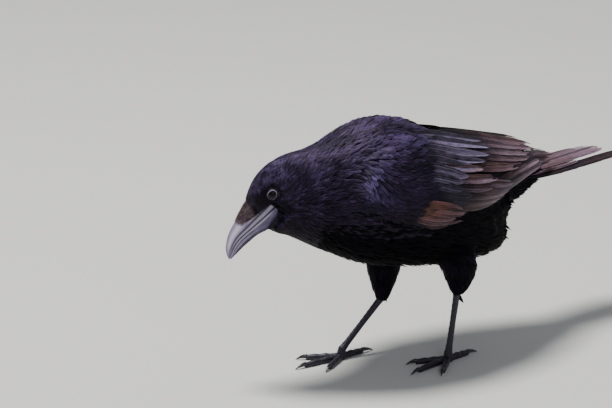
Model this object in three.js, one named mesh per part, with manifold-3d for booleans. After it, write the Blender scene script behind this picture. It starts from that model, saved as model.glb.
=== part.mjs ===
// A life-size carrion crow, standing with its head lowered to the right and one foot forward.
// Millimetres. +Z is up, -Y is the way the bird faces and +X is its left.
// Places are written as (forward, left, up), measured from the point on the floor under the trunk.
import * as THREE from "three";
import { mergeVertices } from "three/addons/utils/BufferGeometryUtils.js";
import Module from "manifold-3d";

const wasm = await Module();
wasm.setup();

// ---------------------------------------------------------------- driving dimensions
const GAP = 0.35; // clear space between touching solids
const ARM_GAP = 1.2; // clear space behind the wing's arm, whose rear edge is curved
const SIDES = { left: 1, right: -1 };

const NECK_BEND_FROM = 78; // forward distance where the neck starts to turn
const NECK_BEND_TO = 142; // and where the head's own straight part begins
const HEAD_YAW = THREE.MathUtils.degToRad(30); // the head looks this far to the right

const BILL_PITCH = THREE.MathUtils.degToRad(51); // bill points this far below level
const GAPE = { forward: 157, up: 165 }; // corner line of the mouth, on the midline

const EYE = { along: -10.2, above: 12.4, left: 16, radius: 6.2 };
const EYE_CLEARANCE = 0.4;

const TOE_RADIUS = 3.1;
const FOOT_JOINT_UP = 8.5;

// Outline of head, neck and trunk, tail end first. Each row is one cross-section: its top and bottom
// points as [forward, up], its half width, and how far up the section its widest level lies.
const BODY_SECTIONS = [
  { top: [-142, 147], bottom: [-142, 139], half: 9, widest: 0.5 },
  { top: [-122, 155], bottom: [-124, 129], half: 13, widest: 0.5 },
  { top: [-100, 163], bottom: [-101, 110], half: 15, widest: 0.6 },
  { top: [-76, 172], bottom: [-97, 85], half: 20, widest: 0.45 },
  { top: [-48, 185], bottom: [-68, 78], half: 35, widest: 0.45 },
  { top: [-14, 205], bottom: [-26, 80], half: 46, widest: 0.45 },
  { top: [26, 226], bottom: [14, 86], half: 52, widest: 0.47 },
  { top: [62, 231], bottom: [48, 94], half: 52, widest: 0.48 },
  { top: [92, 225.5], bottom: [80, 104], half: 47, widest: 0.48 },
  { top: [113, 217.5], bottom: [106, 117], half: 39, widest: 0.48 },
  { top: [128, 213], bottom: [126, 128], half: 31.5, widest: 0.48 },
  { top: [142, 210.5], bottom: [138, 135], half: 26, widest: 0.5 },
  { top: [155, 205.5], bottom: [147, 139], half: 22.5, widest: 0.53 },
  { top: [166, 198], bottom: [154, 141], half: 20.5, widest: 0.56 },
  { top: [173.5, 189], bottom: [158.5, 142], half: 18.2, widest: 0.56 },
  { top: [178, 180], bottom: [162, 142.5], half: 14.5, widest: 0.54 },
  { top: [181.5, 171], bottom: [164, 143.5], half: 10.3, widest: 0.5 },
];
const BODY_RING = 24;

// The body's named lengths, as shares of the run from tail end to bill.
const BODY_PARTS = [
  { name: "rump", from: 0, to: 0.215, rings: 7, colour: 0x17141b },
  { name: "trunk", from: 0.215, to: 0.55, rings: 10, colour: 0x151219 },
  { name: "neck", from: 0.55, to: 0.735, rings: 6, colour: 0x16131c },
  { name: "head", from: 0.735, to: 1, rings: 9, colour: 0x1a1722 },
];

// Bill sections: distance along it, then the levels of ridge, mouth line and underside, and the half width.
const BILL_SECTIONS = [
  { along: -3, ridge: 21, mouth: 0, underside: -11, half: 9.6 },
  { along: 9, ridge: 21, mouth: 1.2, underside: -11, half: 9.2 },
  { along: 19, ridge: 20, mouth: 2.7, underside: -10.6, half: 8.1 },
  { along: 29, ridge: 17.8, mouth: 4.2, underside: -6.2, half: 6.9 },
  { along: 39, ridge: 16.3, mouth: 5.7, underside: -4, half: 5.6 },
  { along: 47, ridge: 13.8, mouth: 5.4, underside: -2.7, half: 4.4 },
  { along: 54, ridge: 10, mouth: 3.4, underside: -2, half: 3.2 },
  { along: 59, ridge: 5.4, mouth: 1.4, underside: -1.4, half: 2 },
  { along: 61.5, ridge: 1.2, mouth: -0.6, underside: -1.2, half: 0.7 },
];
const BILL_RINGS = 13;
const LOWER_BILL_END = 0.94; // share of the run at which the lower bill stops, inside the hooked tip
const LOWER_BILL_WIDTH = 0.92;
const BRISTLES = { from: 8, to: 33, above: 7.5, thick: 1.5 }; // feathers that hide the nostrils

// Outer surface of the left wing, wrist first: upper edge, fullest line and lower edge as [left, up].
const WING_SECTIONS = [
  { forward: 108, upper: [34, 190], middle: [43, 174], lower: [41, 158] },
  { forward: 80, upper: [36, 206], middle: [54, 178], lower: [52, 150] },
  { forward: 40, upper: [28, 218], middle: [60, 178], lower: [57, 139] },
  { forward: 0, upper: [18, 212], middle: [60, 172], lower: [54, 136] },
  { forward: -40, upper: [8, 203], middle: [54, 170], lower: [47, 138] },
  { forward: -80, upper: [3.5, 191], middle: [42, 168], lower: [37, 145] },
  { forward: -118, upper: [1.5, 179], middle: [26, 164], lower: [25, 151] },
  { forward: -156, upper: [1, 163], middle: [12, 159], lower: [14, 152.5] },
];
const WING_ARM = { front: 106, rear: 18, bow: 12, thick: 14, proud: 2.4, rings: 8, columns: 8 };

// Rows of feathers on that surface. Across is 0 at the upper edge and 1 at the lower edge, and each row
// runs from its top feather to its bottom one. Outer is how far outside the surface its face lies.
const WING_ROWS = [
  {
    name: "greater_coverts", feathers: 6, steps: 3, outer: 0, thick: 1.1, colour: 0x2a2228,
    across: [0.03, 0.78], tip: [-46, -34],
  },
  {
    name: "tertials", feathers: 5, steps: 5, outer: -2.8, thick: 1.1, colour: 0x3a2c30,
    across: [0.02, 0.5], tip: [-134, -146],
  },
  {
    name: "secondaries", feathers: 5, steps: 4, outer: -2.8, thick: 1.1, colour: 0x35282b,
    across: [0.515, 0.99], tip: [-92, -62],
  },
  {
    name: "primaries", feathers: 6, steps: 4, outer: -5.6, thick: 1.4, colour: 0x3d2f33,
    across: [0.3, 0.97], root: -30, tip: [-158, -148],
  },
  {
    name: "primary_coverts", feathers: 3, steps: 3, outer: 3.1, thick: 1.2, colour: 0x4a3230,
    across: [0.58, 0.95], root: 57, tip: [-10, 0],
  },
];
const FEATHER_STEP = 0.8; // how far each feather's lower edge stands behind the next one's upper edge
const TIP_ROUNDING = 9; // how far the corners of a feather's end draw back

// Shut tail: near-level slats from the rump, in order from the bird's right, by their edges at the tip.
const TAIL = {
  rootForward: -90, rootHalf: 18, half: 25.5,
  // dips a little behind the rump, then rises to the tip
  rootUp: 149, lowUp: 146, lowForward: -125, tipUp: 150, tipForward: -235,
  arch: 2.2, thick: 1.8, steps: 4,
  feathers: [
    { from: -25, to: -17.5, tip: -206 },
    { from: -17, to: -9.5, tip: -217 },
    { from: -9, to: -3, tip: -220 },
    { from: -2.5, to: 4, tip: -218 },
    { from: 4.5, to: 11.5, tip: -179 },
    { from: 12, to: 21.5, tip: -235 },
  ],
};

// Feathered leg sections from the trunk down, as [forward, left, up, fore-and-aft radius, sideways radius].
const LEGS = {
  left: {
    thigh: [
      [-14, 20, 122, 17, 9], [-17, 26, 106, 23, 13.5], [-19, 29.5, 88, 20, 13],
      [-19.5, 31, 75, 14.5, 11], [-17, 32.5, 66, 9, 7.6], [-14.5, 33, 60, 4.6, 4.2],
    ],
    heel: [-14.5, 33, 62], foot: [-3, 35], toeYaw: 8,
  },
  right: {
    thigh: [
      [16, 20, 122, 17, 9], [17, 26, 106, 23, 13.5], [18, 29, 88, 19.5, 13],
      [18, 30, 72, 15.5, 11], [18.5, 30.5, 58, 10, 8], [19.5, 30.5, 46, 4.8, 4.2],
    ],
    heel: [20, 30.5, 48], foot: [66, 31.5], toeYaw: 4,
  },
};

// Shank sections from heel to foot joint, as [share of the run, sideways radius, fore-and-aft radius].
const TARSUS_RINGS = [[0, 3.2, 3.8], [0.1, 2.7, 3.4], [0.5, 2.4, 3.0], [0.85, 2.6, 3.2], [1, 3.6, 3.8]];
const PAD_RINGS = [[4.5, 4.4], [1.5, 4.4], [0, 3.6]]; // [up, radius] of the ball of the foot
const PAD_REACH = 4.9; // from the foot joint to where the toes begin

// Toe and claw sections as [share of the length, share of the toe's radius], a claw's with its lift too.
const TOE_RINGS = [[0, 1], [0.3, 0.9], [0.42, 1], [0.6, 0.84], [0.72, 0.94], [1, 0.76]];
const CLAW_RINGS = [[0, 0.7, 0.4], [0.3, 0.64, 1.3], [0.6, 0.44, 1.2], [1, 0.16, 0]];

// Toes by digit: direction from straight ahead, positive outwards, length without the claw, and claw length.
const TOES = [
  { digit: 1, yaw: 176, length: 19, claw: 13 },
  { digit: 2, yaw: -33, length: 25, claw: 9.5 },
  { digit: 3, yaw: 0, length: 35, claw: 11 },
  { digit: 4, yaw: 32, length: 27, claw: 9 },
];

// ---------------------------------------------------------------- frames
// A place on the body, with the neck's turn to the right applied.
const BEND_RADIUS = (NECK_BEND_TO - NECK_BEND_FROM) / HEAD_YAW;
function place(forward, left, up) {
  const turned = THREE.MathUtils.clamp(forward - NECK_BEND_FROM, 0, NECK_BEND_TO - NECK_BEND_FROM);
  const yaw = turned / BEND_RADIUS;
  const beyond = forward > NECK_BEND_TO ? forward - NECK_BEND_TO : 0;
  const ahead = Math.min(forward, NECK_BEND_FROM) + BEND_RADIUS * Math.sin(yaw) + beyond * Math.cos(yaw);
  const aside = -BEND_RADIUS * (1 - Math.cos(yaw)) - beyond * Math.sin(yaw);
  return new THREE.Vector3(aside + left * Math.cos(yaw), -ahead - left * Math.sin(yaw), up);
}

// A place on the head by the bill: along it from the gape to the tip, above the gape line, and to the left.
function onBill(along, above, left) {
  const c = Math.cos(BILL_PITCH);
  const s = Math.sin(BILL_PITCH);
  return place(GAPE.forward + along * c + above * s, left, GAPE.up - along * s + above * c);
}

// ---------------------------------------------------------------- shape helpers
// A closed solid through rings that all have the same number of points. Its ends are closed by fans, or,
// on a thin slab, whose rings run out along one face and back along the other, by strips between the faces.
function loft(rings, slab = false) {
  const n = rings[0].length;
  const positions = rings.flat().flatMap((p) => [p.x, p.y, p.z]);
  const faces = [];
  for (let r = 0; r < rings.length - 1; r++) {
    for (let i = 0; i < n; i++) {
      const a = r * n + i;
      const b = r * n + ((i + 1) % n);
      faces.push(a, b, a + n, b, b + n, a + n);
    }
  }
  for (const r of [0, rings.length - 1]) {
    const cap = slab ? stripCap(r * n, n) : fanCap(r * n, n, positions.length / 3);
    if (!slab) {
      const centre = rings[r].reduce((sum, p) => sum.add(p), new THREE.Vector3()).divideScalar(n);
      positions.push(centre.x, centre.y, centre.z);
    }
    for (const [a, b, c] of cap) faces.push(...(r === 0 ? [a, c, b] : [a, b, c]));
  }
  return facingOut(positions, faces);
}

function fanCap(first, n, centre) {
  return Array.from({ length: n }, (_, i) => [centre, first + i, first + ((i + 1) % n)]);
}

function stripCap(first, n) {
  const cap = [];
  for (let i = 0; i < n / 2 - 1; i++) {
    const [a, b, c, d] = [i, i + 1, n - 2 - i, n - 1 - i].map((k) => first + k);
    cap.push([a, b, c], [a, c, d]);
  }
  return cap;
}

function facingOut(positions, faces) {
  const at = (i) => new THREE.Vector3(positions[3 * i], positions[3 * i + 1], positions[3 * i + 2]);
  let volume = 0;
  for (let i = 0; i < faces.length; i += 3) volume += at(faces[i]).dot(at(faces[i + 1]).cross(at(faces[i + 2])));
  if (volume < 0) {
    for (let i = 0; i < faces.length; i += 3) [faces[i + 1], faces[i + 2]] = [faces[i + 2], faces[i + 1]];
  }
  const geometry = new THREE.BufferGeometry();
  geometry.setAttribute("position", new THREE.Float32BufferAttribute(positions, 3));
  geometry.setIndex(faces);
  return geometry;
}

// Points of a curve through hand-set numbers, all interpolated together.
function smoothRow(rows, share) {
  const at = share * (rows.length - 1);
  const k = Math.min(Math.floor(at), rows.length - 2);
  const t = at - k;
  const before = rows[Math.max(k - 1, 0)];
  const after = rows[Math.min(k + 2, rows.length - 1)];
  return rows[k].map((p1, i) => {
    const p2 = rows[k + 1][i];
    const m1 = (p2 - before[i]) / 2;
    const m2 = (after[i] - p1) / 2;
    const t2 = t * t;
    const t3 = t2 * t;
    return (2 * t3 - 3 * t2 + 1) * p1 + (t3 - 2 * t2 + t) * m1 + (3 * t2 - 2 * t3) * p2 + (t3 - t2) * m2;
  });
}

// A ring around a path point: two perpendicular radii, in the plane that `across` and `over` span.
function ellipseRing(centre, across, over, acrossRadius, overRadius, count) {
  return Array.from({ length: count }, (_, i) => {
    const a = (2 * Math.PI * i) / count;
    return centre.clone()
      .addScaledVector(across, acrossRadius * Math.cos(a))
      .addScaledVector(over, overRadius * Math.sin(a));
  });
}

// ---------------------------------------------------------------- joins and cuts
function solid(geometry) {
  const bare = new THREE.BufferGeometry();
  bare.setAttribute("position", geometry.getAttribute("position").clone());
  if (geometry.index) bare.setIndex(geometry.index.clone());
  const merged = mergeVertices(bare, 1e-4);
  return new wasm.Manifold(
    new wasm.Mesh({
      numProp: 3,
      vertProperties: new Float32Array(merged.getAttribute("position").array),
      triVerts: new Uint32Array(merged.index.array),
    }),
  );
}

function geometryOf(manifold) {
  const mesh = manifold.getMesh();
  const positions = new Float32Array(mesh.numVert * 3);
  for (let i = 0; i < mesh.numVert; i++) {
    for (let k = 0; k < 3; k++) positions[3 * i + k] = mesh.vertProperties[i * mesh.numProp + k];
  }
  const geometry = new THREE.BufferGeometry();
  geometry.setAttribute("position", new THREE.BufferAttribute(positions, 3));
  geometry.setIndex(new THREE.BufferAttribute(new Uint32Array(mesh.triVerts), 1));
  return geometry;
}

// The largest single body left by a cut, without the crumbs.
function largest(manifold) {
  return manifold.decompose().reduce((a, b) => (b.volume() > a.volume() ? b : a));
}

// ---------------------------------------------------------------- the parts
const crow = new THREE.Group();
crow.name = "crow";

function add(name, geometry, colour, roughness = 0.6) {
  const mesh = new THREE.Mesh(geometry, new THREE.MeshStandardMaterial({ color: colour, roughness, metalness: 0 }));
  mesh.name = name;
  crow.add(mesh);
}

const bodyRows = BODY_SECTIONS.map((s) => [...s.top, ...s.bottom, s.half, s.widest]);

function bodyRing(share, grow = 0) {
  const [tf, tu, bf, bu, half, widest] = smoothRow(bodyRows, share);
  const height = Math.hypot(tf - bf, tu - bu);
  const up = [(tf - bf) / height, (tu - bu) / height];
  return Array.from({ length: BODY_RING }, (_, i) => {
    const a = (2 * Math.PI * i) / BODY_RING;
    const c = Math.cos(a);
    const rise = height * (widest + c * (c > 0 ? 1 - widest : widest)) + grow * c;
    return place(bf + up[0] * rise, (half + grow) * Math.sin(a), bu + up[1] * rise);
  });
}

function bodyLength(from, to, rings, grow = 0) {
  const made = [];
  for (let k = 0; k < rings; k++) made.push(bodyRing(from + ((to - from) * k) / (rings - 1), grow));
  return loft(made);
}

const bodyEnvelope = solid(bodyLength(0, 1, 40, GAP));

// ---------------------------------------------------------------- bill
const billRows = BILL_SECTIONS.map((s) => [s.along, s.ridge, s.mouth, s.underside, s.half]);

// Half an oval round the bill, from its left edge over (or under) to its right edge.
function billArc(along, edge, peak, half, points, spread = Math.PI / 2) {
  return Array.from({ length: points }, (_, i) => {
    const a = spread - (2 * spread * i) / (points - 1);
    return onBill(along, edge + (peak - edge) * Math.cos(a), half * Math.sin(a));
  });
}

function upperBill(grow = 0) {
  const rings = [];
  for (let k = 0; k < BILL_RINGS; k++) {
    const [along, ridge, mouth, , half] = smoothRow(billRows, k / (BILL_RINGS - 1));
    const palate = onBill(along, mouth + 0.25 * Math.min(half, 3) - grow, 0);
    rings.push([...billArc(along, mouth - grow, ridge + grow, half + grow, 11), palate]);
  }
  return loft(rings);
}

function lowerBill() {
  const rings = [];
  for (let k = 0; k < BILL_RINGS; k++) {
    const share = (LOWER_BILL_END * k) / (BILL_RINGS - 1);
    const [along, , mouth, underside, half] = smoothRow(billRows, share);
    const top = mouth - GAP;
    const tongue = onBill(along, top - 0.3, 0);
    rings.push([...billArc(along, top, underside, half * LOWER_BILL_WIDTH, 9), tongue]);
  }
  return loft(rings);
}

// Bristle feathers lying forward over the base of the upper bill.
function nasalBristles() {
  const rings = [];
  const count = 7;
  for (let k = 0; k < count; k++) {
    const along = BRISTLES.from + ((BRISTLES.to - BRISTLES.from) * k) / (count - 1);
    const at = billRows.findIndex((row) => row[0] > along) - 1;
    const t = (along - billRows[at][0]) / (billRows[at + 1][0] - billRows[at][0]);
    const [, ridge, mouth, , half] = smoothRow(billRows, (at + t) / (billRows.length - 1));
    const spread = Math.acos((BRISTLES.above - mouth) / (ridge - mouth)) * (1 - 0.45 * (k / (count - 1)) ** 3);
    const lift = GAP + BRISTLES.thick * (1 - 0.55 * (k / (count - 1)) ** 2);
    const face = billArc(along, mouth, ridge + lift, half + lift, 9, spread);
    const back = billArc(along, mouth, ridge + GAP, half + GAP, 9, spread).reverse();
    rings.push([...face, ...back]);
  }
  return loft(rings, true);
}

// ---------------------------------------------------------------- wings
const wingRows = WING_SECTIONS.map((s) => [s.forward, ...s.upper, ...s.middle, ...s.lower]);

// Point on the left wing's outer surface, pushed out by `out`, as [forward, left, up].
function wingPoint(forward, across, out) {
  const found = wingRows.findIndex((row) => row[0] <= forward);
  const k = found < 0 ? wingRows.length - 1 : Math.max(found, 1);
  const t = (wingRows[k - 1][0] - forward) / (wingRows[k - 1][0] - wingRows[k][0]);
  const share = (k - 1 + Math.max(t, 0)) / (wingRows.length - 1);
  const [, ul, uu, ml, mu, ll, lu] = smoothRow(wingRows, Math.min(share, 1));
  // One quadratic curve from the upper edge, through the fullest line, to the lower edge.
  const s = across;
  const w0 = (1 - s) * (1 - 2 * s);
  const w1 = 4 * s * (1 - s);
  const w2 = s * (2 * s - 1);
  const left = ul * w0 + ml * w1 + ll * w2;
  const up = uu * w0 + mu * w1 + lu * w2;
  const dLeft = ul * (4 * s - 3) + ml * (4 - 8 * s) + ll * (4 * s - 1);
  const dUp = uu * (4 * s - 3) + mu * (4 - 8 * s) + lu * (4 * s - 1);
  const length = Math.hypot(dLeft, dUp);
  return [forward, left - (out * dUp) / length, up + (out * dLeft) / length];
}

// A slab between two offsets of the wing's surface, from rings of [forward, across, step] columns.
function wingSlab(rows, outer, inner, side) {
  const rings = rows.map((row) => {
    const face = row.map(([f, v, step]) => wingPoint(f, v, outer - step));
    const back = row.map(([f, v]) => wingPoint(f, v, inner)).reverse();
    return [...face, ...back].map(([f, l, u]) => place(f, side * l, u));
  });
  return loft(rings, true);
}

// Half width of the body at a place, or 0 outside its height.
function bodyHalf(forward, up) {
  const ahead = (share) => {
    const [tf, tu, bf, bu] = smoothRow(bodyRows, share);
    return (forward - bf) * (tu - bu) - (up - bu) * (tf - bf);
  };
  let low = 0;
  let high = 1;
  for (let step = 0; step < 20; step++) {
    const middle = (low + high) / 2;
    if (ahead(middle) > 0) low = middle;
    else high = middle;
  }
  const [, tu, , bu, half, widest] = smoothRow(bodyRows, low);
  const rise = (up - bu) / (tu - bu) - widest;
  const c = rise / (rise > 0 ? 1 - widest : widest);
  return half * Math.sqrt(Math.max(1 - c * c, 0));
}

const armRear = (across) => WING_ARM.rear - WING_ARM.bow * 4 * across * (1 - across);

// The wing's arm under shoulder feathers and small coverts, filled in down to the trunk.
function wingArm(side) {
  const rows = [];
  for (let k = 0; k <= WING_ARM.rings; k++) {
    const t = k / WING_ARM.rings;
    const row = [];
    for (let i = 0; i <= WING_ARM.columns; i++) {
      const q = i / WING_ARM.columns;
      const front = WING_ARM.front - 26 * (2 * q - 1) ** 2;
      const forward = front + (armRear(q) - front) * t;
      const [, left, up] = wingPoint(forward, q, 0);
      row.push([forward, q, -Math.max(bodyHalf(forward, up) + WING_ARM.proud - left, 0)]);
    }
    rows.push(row);
  }
  return wingSlab(rows, 0, -WING_ARM.thick, side);
}

// One row of overlapping feathers with rounded tips.
const COLUMNS = [0.03, 0.5, 0.97];
function featherRow(row, side) {
  const rows = [];
  for (let k = 0; k <= row.steps; k++) {
    const t = k / row.steps;
    const line = [];
    for (let i = 0; i < row.feathers; i++) {
      for (const c of COLUMNS) {
        const q = (i + c) / row.feathers;
        const across = row.across[0] + (row.across[1] - row.across[0]) * q;
        const root = row.root ?? armRear(across) - ARM_GAP;
        const tip = row.tip[0] + (row.tip[1] - row.tip[0]) * q + TIP_ROUNDING * Math.abs(2 * c - 1) ** 3;
        line.push([root + (tip - root) * t, across, FEATHER_STEP * c]);
      }
    }
    rows.push(line);
  }
  return wingSlab(rows, row.outer, row.outer - FEATHER_STEP - row.thick, side);
}

// ---------------------------------------------------------------- tail
function tailLevel(forward) {
  const down = THREE.MathUtils.mapLinear(forward, TAIL.rootForward, TAIL.lowForward, TAIL.rootUp, TAIL.lowUp);
  const rise = THREE.MathUtils.mapLinear(forward, TAIL.lowForward, TAIL.tipForward, TAIL.lowUp, TAIL.tipUp);
  return forward > TAIL.lowForward ? down : rise;
}

function tailPanel(grow = 0) {
  const rings = [];
  for (let k = 0; k <= TAIL.steps; k++) {
    const t = k / TAIL.steps;
    const face = [];
    const back = [];
    TAIL.feathers.forEach((feather, i) => {
      for (const c of COLUMNS) {
        const tip = feather.tip + TIP_ROUNDING * Math.abs(2 * c - 1) ** 3 - grow;
        const forward = TAIL.rootForward + (tip - TAIL.rootForward) * t;
        const spread = Math.min((TAIL.rootForward - forward) / 60, 1);
        const full = feather.from + (feather.to - feather.from) * c;
        const left = full * (TAIL.rootHalf + (TAIL.half - TAIL.rootHalf) * spread) / TAIL.half;
        const level = tailLevel(forward) - TAIL.arch * (left / TAIL.half) ** 2;
        const inner = i < TAIL.feathers.length / 2 ? c : 1 - c;
        const aside = left + grow * Math.sign(left);
        face.push(place(forward, aside, level - FEATHER_STEP * (1 - inner) + grow));
        back.push(place(forward, aside, level - FEATHER_STEP - TAIL.thick - grow));
      }
    });
    rings.push([...face, ...back.reverse()]);
  }
  return loft(rings, true);
}

// ---------------------------------------------------------------- legs
const FORWARD = new THREE.Vector3(0, -1, 0);
const BACK = new THREE.Vector3(0, 1, 0);
const LEFT = new THREE.Vector3(1, 0, 0);
const UP = new THREE.Vector3(0, 0, 1);
const SHANK_SIDES = 8;
const TOE_SIDES = 8;
const CLAW_SIDES = 6;

function thigh(leg, side, grow = 0) {
  const last = leg.thigh.length - 1;
  const rings = [];
  for (let k = 0; k <= 2 * last; k++) {
    const [f, l, u, ahead, aside] = smoothRow(leg.thigh, k / (2 * last));
    const centre = new THREE.Vector3(side * l, -f, k === 2 * last ? u - grow : u);
    rings.push(ellipseRing(centre, FORWARD, LEFT, ahead + grow, aside + grow, 16));
  }
  return loft(rings);
}

// A ring with a flat underside, cut off level with the floor.
function flatRing(centre, aside, radius, sides) {
  return Array.from({ length: sides }, (_, i) => {
    const a = (2 * Math.PI * (i + 0.5)) / sides - Math.PI / 2;
    const p = centre.clone().addScaledVector(aside, radius * Math.cos(a)).addScaledVector(UP, radius * Math.sin(a));
    p.z = Math.max(p.z, 0);
    return p;
  });
}

// Scaled shank from the heel to the ball of the foot, which stands on a flat pad.
function tarsus(leg, side, grow = 0) {
  const heel = new THREE.Vector3(side * leg.heel[1], -leg.heel[0], leg.heel[2]);
  const foot = new THREE.Vector3(side * leg.foot[1], -leg.foot[0], FOOT_JOINT_UP);
  const run = foot.clone().sub(heel).normalize();
  const over = new THREE.Vector3().crossVectors(LEFT, run).normalize();
  const rings = TARSUS_RINGS.map(([share, aside, ahead]) => {
    const centre = heel.clone().lerp(foot, share);
    return ellipseRing(centre, LEFT, over, aside + grow, ahead + grow, SHANK_SIDES);
  });
  for (const [up, radius] of PAD_RINGS) {
    const centre = new THREE.Vector3(foot.x, foot.y, Math.max(up - grow, 0));
    rings.push(ellipseRing(centre, LEFT, BACK, radius + grow, radius + grow, SHANK_SIDES));
  }
  return loft(rings);
}

// Direction of one toe on the floor.
function toeHeading(leg, side, toe) {
  const yaw = THREE.MathUtils.degToRad(leg.toeYaw + toe.yaw);
  return new THREE.Vector3(side * Math.sin(yaw), -Math.cos(yaw), 0);
}

function toePath(leg, side, toe, from, length) {
  const heading = toeHeading(leg, side, toe);
  const aside = new THREE.Vector3().crossVectors(UP, heading);
  const start = new THREE.Vector3(side * leg.foot[1], -leg.foot[0], 0).addScaledVector(heading, from);
  return { heading, aside, at: (run, up) => start.clone().addScaledVector(heading, run * length).setZ(up) };
}

function toeSolid(leg, side, toe, grow = 0) {
  const path = toePath(leg, side, toe, PAD_REACH - grow, toe.length);
  const flat = Math.cos(Math.PI / TOE_SIDES);
  const rings = TOE_RINGS.map(([share, swell]) => {
    const radius = TOE_RADIUS * swell * (toe.digit === 1 ? 1.05 : 1);
    return flatRing(path.at(share, radius * flat), path.aside, radius + grow, TOE_SIDES);
  });
  return loft(rings);
}

function clawSolid(leg, side, toe) {
  const path = toePath(leg, side, toe, PAD_REACH + toe.length + GAP, toe.claw);
  const rings = CLAW_RINGS.map(([share, swell, lift]) => {
    const radius = TOE_RADIUS * swell;
    return flatRing(path.at(share, radius * 0.86 + lift), path.aside, radius, CLAW_SIDES);
  });
  return loft(rings);
}

// ---------------------------------------------------------------- head, neck, trunk and rump
const eyePlace = (side) => onBill(EYE.along, EYE.above, side * EYE.left);
function eyeBall(side, radius) {
  const ball = new THREE.SphereGeometry(radius, 12, 8);
  const at = eyePlace(side);
  return ball.translate(at.x, at.y, at.z);
}

for (const part of BODY_PARTS) {
  const gapShare = part.from > 0 ? 0.0012 : 0;
  let made = solid(bodyLength(part.from + gapShare, part.to, part.rings));
  if (part.name === "head") {
    for (const side of Object.values(SIDES)) made = made.subtract(solid(eyeBall(side, EYE.radius + EYE_CLEARANCE)));
  }
  add(part.name, geometryOf(made), part.colour);
}

for (const [word, side] of Object.entries(SIDES)) add(`eye_${word}`, eyeBall(side, EYE.radius), 0x120c0a, 0.05);

// ---------------------------------------------------------------- bill parts
const outsideHead = (geometry) => geometryOf(largest(solid(geometry).subtract(bodyEnvelope)));
add("bill_upper", outsideHead(upperBill()), 0x24222a, 0.3);
add("bill_lower", outsideHead(lowerBill()), 0x222028, 0.3);
add("nasal_bristles", outsideHead(nasalBristles()), 0x33282c);

// ---------------------------------------------------------------- tail, wings
const tailEnvelope = solid(tailPanel(GAP));
add("tail", outsideHead(tailPanel()), 0x33272d);

for (const [word, side] of Object.entries(SIDES)) {
  const otherSide = new THREE.BoxGeometry(400, 900, 600).translate(-side * (200 - GAP / 2), 0, 0);
  const blocked = bodyEnvelope.add(tailEnvelope).add(solid(otherSide));
  add(`wing_arm_${word}`, geometryOf(largest(solid(wingArm(side)).subtract(blocked))), 0x17151d);
  for (const row of WING_ROWS) {
    add(`${row.name}_${word}`, geometryOf(largest(solid(featherRow(row, side)).subtract(blocked))), row.colour);
  }
}

// ---------------------------------------------------------------- legs and feet
for (const [word, side] of Object.entries(SIDES)) {
  const leg = LEGS[word];
  add(`thigh_${word}`, geometryOf(largest(solid(thigh(leg, side)).subtract(bodyEnvelope))), 0x0d0c10);
  add(`tarsus_${word}`, geometryOf(largest(solid(tarsus(leg, side)).subtract(solid(thigh(leg, side, GAP))))), 0x17151b, 0.4);
  const middleToe = solid(toeSolid(leg, side, TOES.find((toe) => toe.yaw === 0), GAP));
  for (const toe of TOES) {
    const whole = toeSolid(leg, side, toe);
    const shape = toe.yaw === 0 ? whole : geometryOf(largest(solid(whole).subtract(middleToe)));
    add(`toe_${toe.digit}_${word}`, shape, 0x17151b, 0.4);
    add(`claw_${toe.digit}_${word}`, clawSolid(leg, side, toe), 0x0f0e12, 0.25);
  }
}

// The floor under the middle of the model is its reference point.
const box = new THREE.Box3().setFromObject(crow);
const middle = box.getCenter(new THREE.Vector3());
crow.position.set(-middle.x, -middle.y, 0);

export default crow;
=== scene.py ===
import math

import bmesh
import bpy
import numpy as np
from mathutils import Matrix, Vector
from mathutils.bvhtree import BVHTree
from mathutils.kdtree import KDTree


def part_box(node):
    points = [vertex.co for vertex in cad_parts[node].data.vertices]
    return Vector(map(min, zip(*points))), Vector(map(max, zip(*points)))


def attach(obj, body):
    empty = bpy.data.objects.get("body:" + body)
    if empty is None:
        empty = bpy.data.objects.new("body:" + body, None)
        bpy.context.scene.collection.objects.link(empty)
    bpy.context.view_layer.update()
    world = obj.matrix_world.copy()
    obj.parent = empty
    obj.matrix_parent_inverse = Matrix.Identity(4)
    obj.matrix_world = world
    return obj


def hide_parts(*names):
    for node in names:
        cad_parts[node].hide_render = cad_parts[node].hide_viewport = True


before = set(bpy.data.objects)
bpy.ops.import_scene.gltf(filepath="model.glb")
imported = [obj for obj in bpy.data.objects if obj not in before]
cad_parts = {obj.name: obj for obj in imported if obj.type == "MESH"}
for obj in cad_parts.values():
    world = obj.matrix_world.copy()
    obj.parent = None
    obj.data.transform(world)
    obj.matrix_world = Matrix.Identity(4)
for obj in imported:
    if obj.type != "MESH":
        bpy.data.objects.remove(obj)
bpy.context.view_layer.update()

MM = 0.001
SIDES = {"left": 1, "right": -1}
FORWARD = np.array([0, -1, 0])
UP = np.array([0, 0, 1])


# ------------------------------------------------------------------ small sums
def unit(vectors):
    return vectors / np.maximum(np.linalg.norm(vectors, axis=-1, keepdims=True), 1e-12)


def ease(x, low=0.0, high=1.0):
    """Smoothly 0 to 1 from low to high, which may run down."""
    t = np.clip((np.asarray(x, float) - low) / (high - low), 0, 1)
    return t * t * (3 - 2 * t)


def bell(x, middle, reach):
    """1 at the middle, falling away on both sides."""
    return np.exp(-((x - middle) / reach) ** 2)


def read_off(rows, key):
    """The columns of listed rows, read between them where their first column is `key`."""
    rows = np.array(rows, float)
    return [np.interp(key, rows[:, 0], column) for column in rows[:, 1:].T]


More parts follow.
